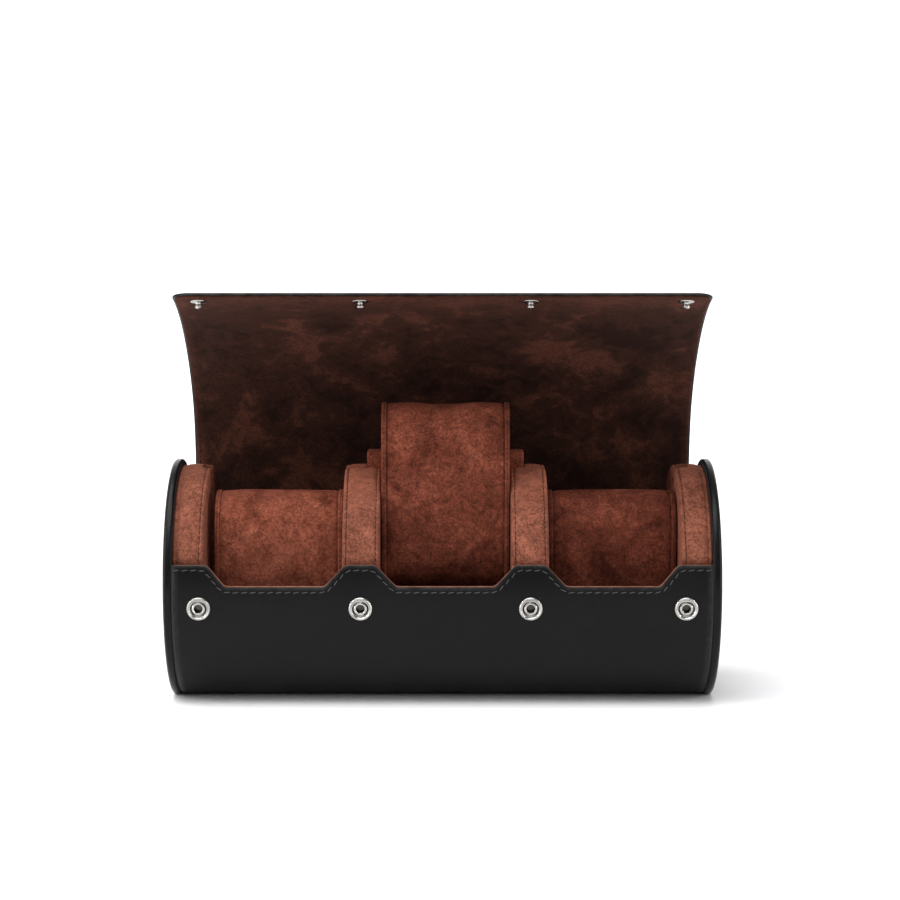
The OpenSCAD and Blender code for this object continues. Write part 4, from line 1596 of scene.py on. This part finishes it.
def build_finishes(colours, sizes):
    """Builds every finish once, and gives the frame's own visible pieces theirs."""
    suede_group()
    leather_group()
    wear_and_light_group()
    nap = sizes.nap_stroke
    FINISHES["leather"] = leather_material("Black leather", colours.leather, colours.leather_wear_and_highlight,
                                           sizes.leather_gloss, sizes.leather_grain)
    FINISHES["cap_leather"] = leather_material("Polished cap leather", colours.leather, colours.leather_wear_and_highlight,
                                               0.7 * sizes.leather_gloss, sizes.leather_grain)
    FINISHES["suede"] = suede_material("Collar suede", colours.collar, colours.collar_dark,
                                       colours.collar_light, nap, 0.8)
    # Painted shade: one lit and two shaded copies of the cushion suede, one for each cushion
    for name, brushed in PAINTED_CUSHION_LIGHT.items():
        tones = [tuple(brushed ** power * c for power, c in zip(SHADE_REDDER, tone))
                 for tone in (colours.cushion, colours.cushion_dark, colours.cushion_light)]
        FINISHES[f"cushion_{name}"] = suede_material(f"Cushion suede {name}", *tones, nap, 1.6 - 0.6 * brushed)
    # Painted light: a copy of the collar suede, its tops turned towards a much lighter tone
    FINISHES["divider_suede"] = suede_material("Divider suede", colours.collar, colours.collar_dark,
                                               colours.collar_light, nap, 0.8,
                                               tuple(2.4 * c for c in colours.collar))
    FINISHES["flap_suede"] = suede_material("Flap suede", colours.flap, colours.flap_dark,
                                            colours.flap_light, 2.2 * nap, 1.3, lightening_amount=0.85)
    FINISHES["lining"] = suede_material("Front lining suede", colours.collar, colours.collar_dark,
                                        colours.lip, nap, 0.6)
    FINISHES["grey_thread"] = thread_material("Grey thread", colours.edge_thread)
    FINISHES["dark_thread"] = thread_material("Brown thread", colours.seam_thread)
    FINISHES["nickel"] = metal_material("Bright nickel", colours.nickel)
    FINISHES["dark_metal"] = metal_material("Dull spring steel", tuple(0.12 * c for c in colours.nickel))
    FINISHES["board"] = board_material("Black board", colours.board)
    FINISHES["welt"] = welt_material("Waxed welt cord", colours.leather)
    FINISHES["floor"] = floor_material()
    for node, finish in (("end_board_left", "board"), ("end_board_right", "board"), ("end_welt_left", "welt"),
                         ("end_welt_right", "welt"), ("snap_socket_washers", "dark_metal")):
        mesh_object = frame["nodes"][node]
        if not mesh_object.material_slots:
            mesh_object.data.materials.append(None)
        for slot in mesh_object.material_slots:
            slot.link = "OBJECT"
            slot.material = FINISHES[finish]


# Add-on

def length_setting(name, description, default):
    """A size of the add-on, in metres."""
    return FloatProperty(name=name, description=description, default=default, min=0.0, unit="LENGTH",
                         subtype="DISTANCE")


def colour_setting(name, description, default):
    """A colour of the add-on, as linear red, green and blue."""
    return FloatVectorProperty(name=name, description=description, default=default, min=0.0, max=1.0,
                               size=3, subtype="COLOR")


class CaseSizes(PropertyGroup):
    """Sizes of the case's sewing, surfaces and padding."""
    edge_drop: length_setting("Edge seam", "Distance of the grey seam below the front edge", 2.3 * MM)
    edge_stitch: length_setting("Edge stitch", "Length of a stitch in the grey seam", 2.5 * MM)
    edge_gap: length_setting("Edge gap", "Gap between two stitches of the grey seam", 1.1 * MM)
    seam_stitch: length_setting("Seam stitch", "Length of a stitch in the brown seams", 1.5 * MM)
    seam_gap: length_setting("Seam gap", "Gap between two stitches of the brown seams", 0.8 * MM)
    flap_seam: length_setting("Flap seam", "Distance of the flap's seam from its edge", 2.2 * MM)
    waist: length_setting("Waist", "Depth of the soft dip round the middle cushion", 0.9 * MM)
    nap_stroke: length_setting("Nap strokes", "Width of the brushed strokes in the suede", 16 * MM)
    leather_grain: length_setting("Leather grain", "Size of the leather's pebbles", 0.8 * MM)
    leather_gloss: FloatProperty(name="Leather roughness", description="Roughness of the smooth leather",
                                 default=0.42, min=0.0, max=1.0, subtype="FACTOR")


class CaseColours(PropertyGroup):
    """Colours of the case's finishes."""
    leather: colour_setting("Leather", "Black calf leather", (0.0036, 0.0036, 0.0038))
    # Also the colour of the painted highlight along the roll's ends
    leather_wear_and_highlight: colour_setting("Rubbed leather", "Leather where its edges are rubbed", (0.05, 0.046, 0.042))
    collar: colour_setting("Collar suede", "Suede of the collars and dividers", (0.165, 0.0545, 0.0325))
    collar_dark: colour_setting("Collar suede, dark nap", "Nap brushed away from the light",
                                (0.1, 0.031, 0.018))
    collar_light: colour_setting("Collar suede, light nap", "Nap brushed towards the light",
                                 (0.235, 0.081, 0.05))
    cushion: colour_setting("Cushion suede", "Suede of the cushions", (0.185, 0.0515, 0.0285))
    cushion_dark: colour_setting("Cushion suede, dark nap", "Nap brushed away from the light",
                                 (0.105, 0.0265, 0.0135))
    cushion_light: colour_setting("Cushion suede, light nap", "Nap brushed towards the light",
                                  (0.27, 0.081, 0.047))
    flap: colour_setting("Flap suede", "Suede inside the flap", (0.029, 0.0099, 0.006))
    flap_dark: colour_setting("Flap suede, dark nap", "Nap brushed away from the light",
                              (0.0145, 0.0048, 0.0029))
    flap_light: colour_setting("Flap suede, light nap", "Nap brushed towards the light",
                               (0.068, 0.0225, 0.0134))
    lip: colour_setting("Lining edge", "Bare edge of the lining along the front", (0.25, 0.125, 0.088))
    edge_thread: colour_setting("Grey thread", "Thread along the front edge", (0.068, 0.064, 0.06))
    seam_thread: colour_setting("Brown thread", "Thread of the seams in the suede", (0.028, 0.0105, 0.0072))
    nickel: colour_setting("Nickel", "Snaps", (0.47, 0.455, 0.43))
    board: colour_setting("Board", "Black board inside the end caps", (0.016, 0.0145, 0.0135))


class CASE_OT_finishes(Operator):
    """Build the leather, suede, thread, metal and board finishes"""
    bl_idname = "case.finishes"
    bl_label = "Finishes"

    def execute(self, context):
        build_finishes(context.scene.case_colours, context.scene.case_sizes)
        return {"FINISHED"}


class CASE_OT_roll(Operator):
    """Build the leather round the roll, its lining and the seam along its front edge"""
    bl_idname = "case.roll"
    bl_label = "Roll"

    def execute(self, context):
        build_roll(FINISHES)
        build_edge_stitches(FINISHES, context.scene.case_sizes)
        return {"FINISHED"}


class CASE_OT_caps(Operator):
    """Build the two leather-covered end caps"""
    bl_idname = "case.caps"
    bl_label = "End caps"

    def execute(self, context):
        build_caps(FINISHES)
        return {"FINISHED"}


class CASE_OT_pads(Operator):
    """Build the suede collars and dividers with their seams"""
    bl_idname = "case.pads"
    bl_label = "Collars and dividers"

    def execute(self, context):
        build_pads(FINISHES, context.scene.case_sizes)
        return {"FINISHED"}


class CASE_OT_cushions(Operator):
    """Build the three cushions: padding, stitched plates and wings"""
    bl_idname = "case.cushions"
    bl_label = "Cushions"

    def execute(self, context):
        build_cushions(FINISHES, context.scene.case_sizes)
        return {"FINISHED"}


class CASE_OT_flap(Operator):
    """Build the flap: leather, suede lining and the seam round them"""
    bl_idname = "case.flap"
    bl_label = "Flap"

    def execute(self, context):
        build_flap(FINISHES, context.scene.case_sizes)
        return {"FINISHED"}


class CASE_OT_snaps(Operator):
    """Build the snap sockets, studs and caps"""
    bl_idname = "case.snaps"
    bl_label = "Snaps"

    def execute(self, context):
        build_sockets(FINISHES)
        build_studs(FINISHES)
        return {"FINISHED"}


class CASE_OT_stage(Operator):
    """Build the pale sweep, the soft lights and the camera"""
    bl_idname = "case.stage"
    bl_label = "Studio"

    def execute(self, context):
        build_stage(FINISHES)
        return {"FINISHED"}


OPERATORS = (CASE_OT_finishes, CASE_OT_roll, CASE_OT_caps, CASE_OT_pads, CASE_OT_cushions, CASE_OT_flap,
             CASE_OT_snaps, CASE_OT_stage)


class CASE_PT_panel(Panel):
    """Lists the case's settings and the steps that build it"""
    bl_idname = "CASE_PT_panel"
    bl_label = "Watch travel case"
    bl_space_type = "VIEW_3D"
    bl_region_type = "UI"
    bl_category = "Case"

    def draw(self, context):
        for group in (context.scene.case_sizes, context.scene.case_colours):
            box = self.layout.box()
            for name in group.bl_rna.properties.keys():
                if name not in ("rna_type", "name"):
                    box.prop(group, name)
        for operator in OPERATORS:
            self.layout.operator(operator.bl_idname)


CLASSES = (CaseSizes, CaseColours) + OPERATORS + (CASE_PT_panel,)


def register():
    """Adds the settings, the operators and the panel."""
    for cls in CLASSES:
        bpy.utils.register_class(cls)
    bpy.types.Scene.case_sizes = PointerProperty(type=CaseSizes)
    bpy.types.Scene.case_colours = PointerProperty(type=CaseColours)


def unregister():
    """Takes them away again."""
    del bpy.types.Scene.case_colours
    del bpy.types.Scene.case_sizes
    for cls in reversed(CLASSES):
        bpy.utils.unregister_class(cls)


def main():
    """Builds the whole case."""
    register()
    bpy.ops.case.finishes()
    bpy.ops.case.roll()
    bpy.ops.case.caps()
    bpy.ops.case.pads()
    bpy.ops.case.cushions()
    bpy.ops.case.flap()
    bpy.ops.case.snaps()
    bpy.ops.case.stage()


if __name__ == "__main__":
    main()
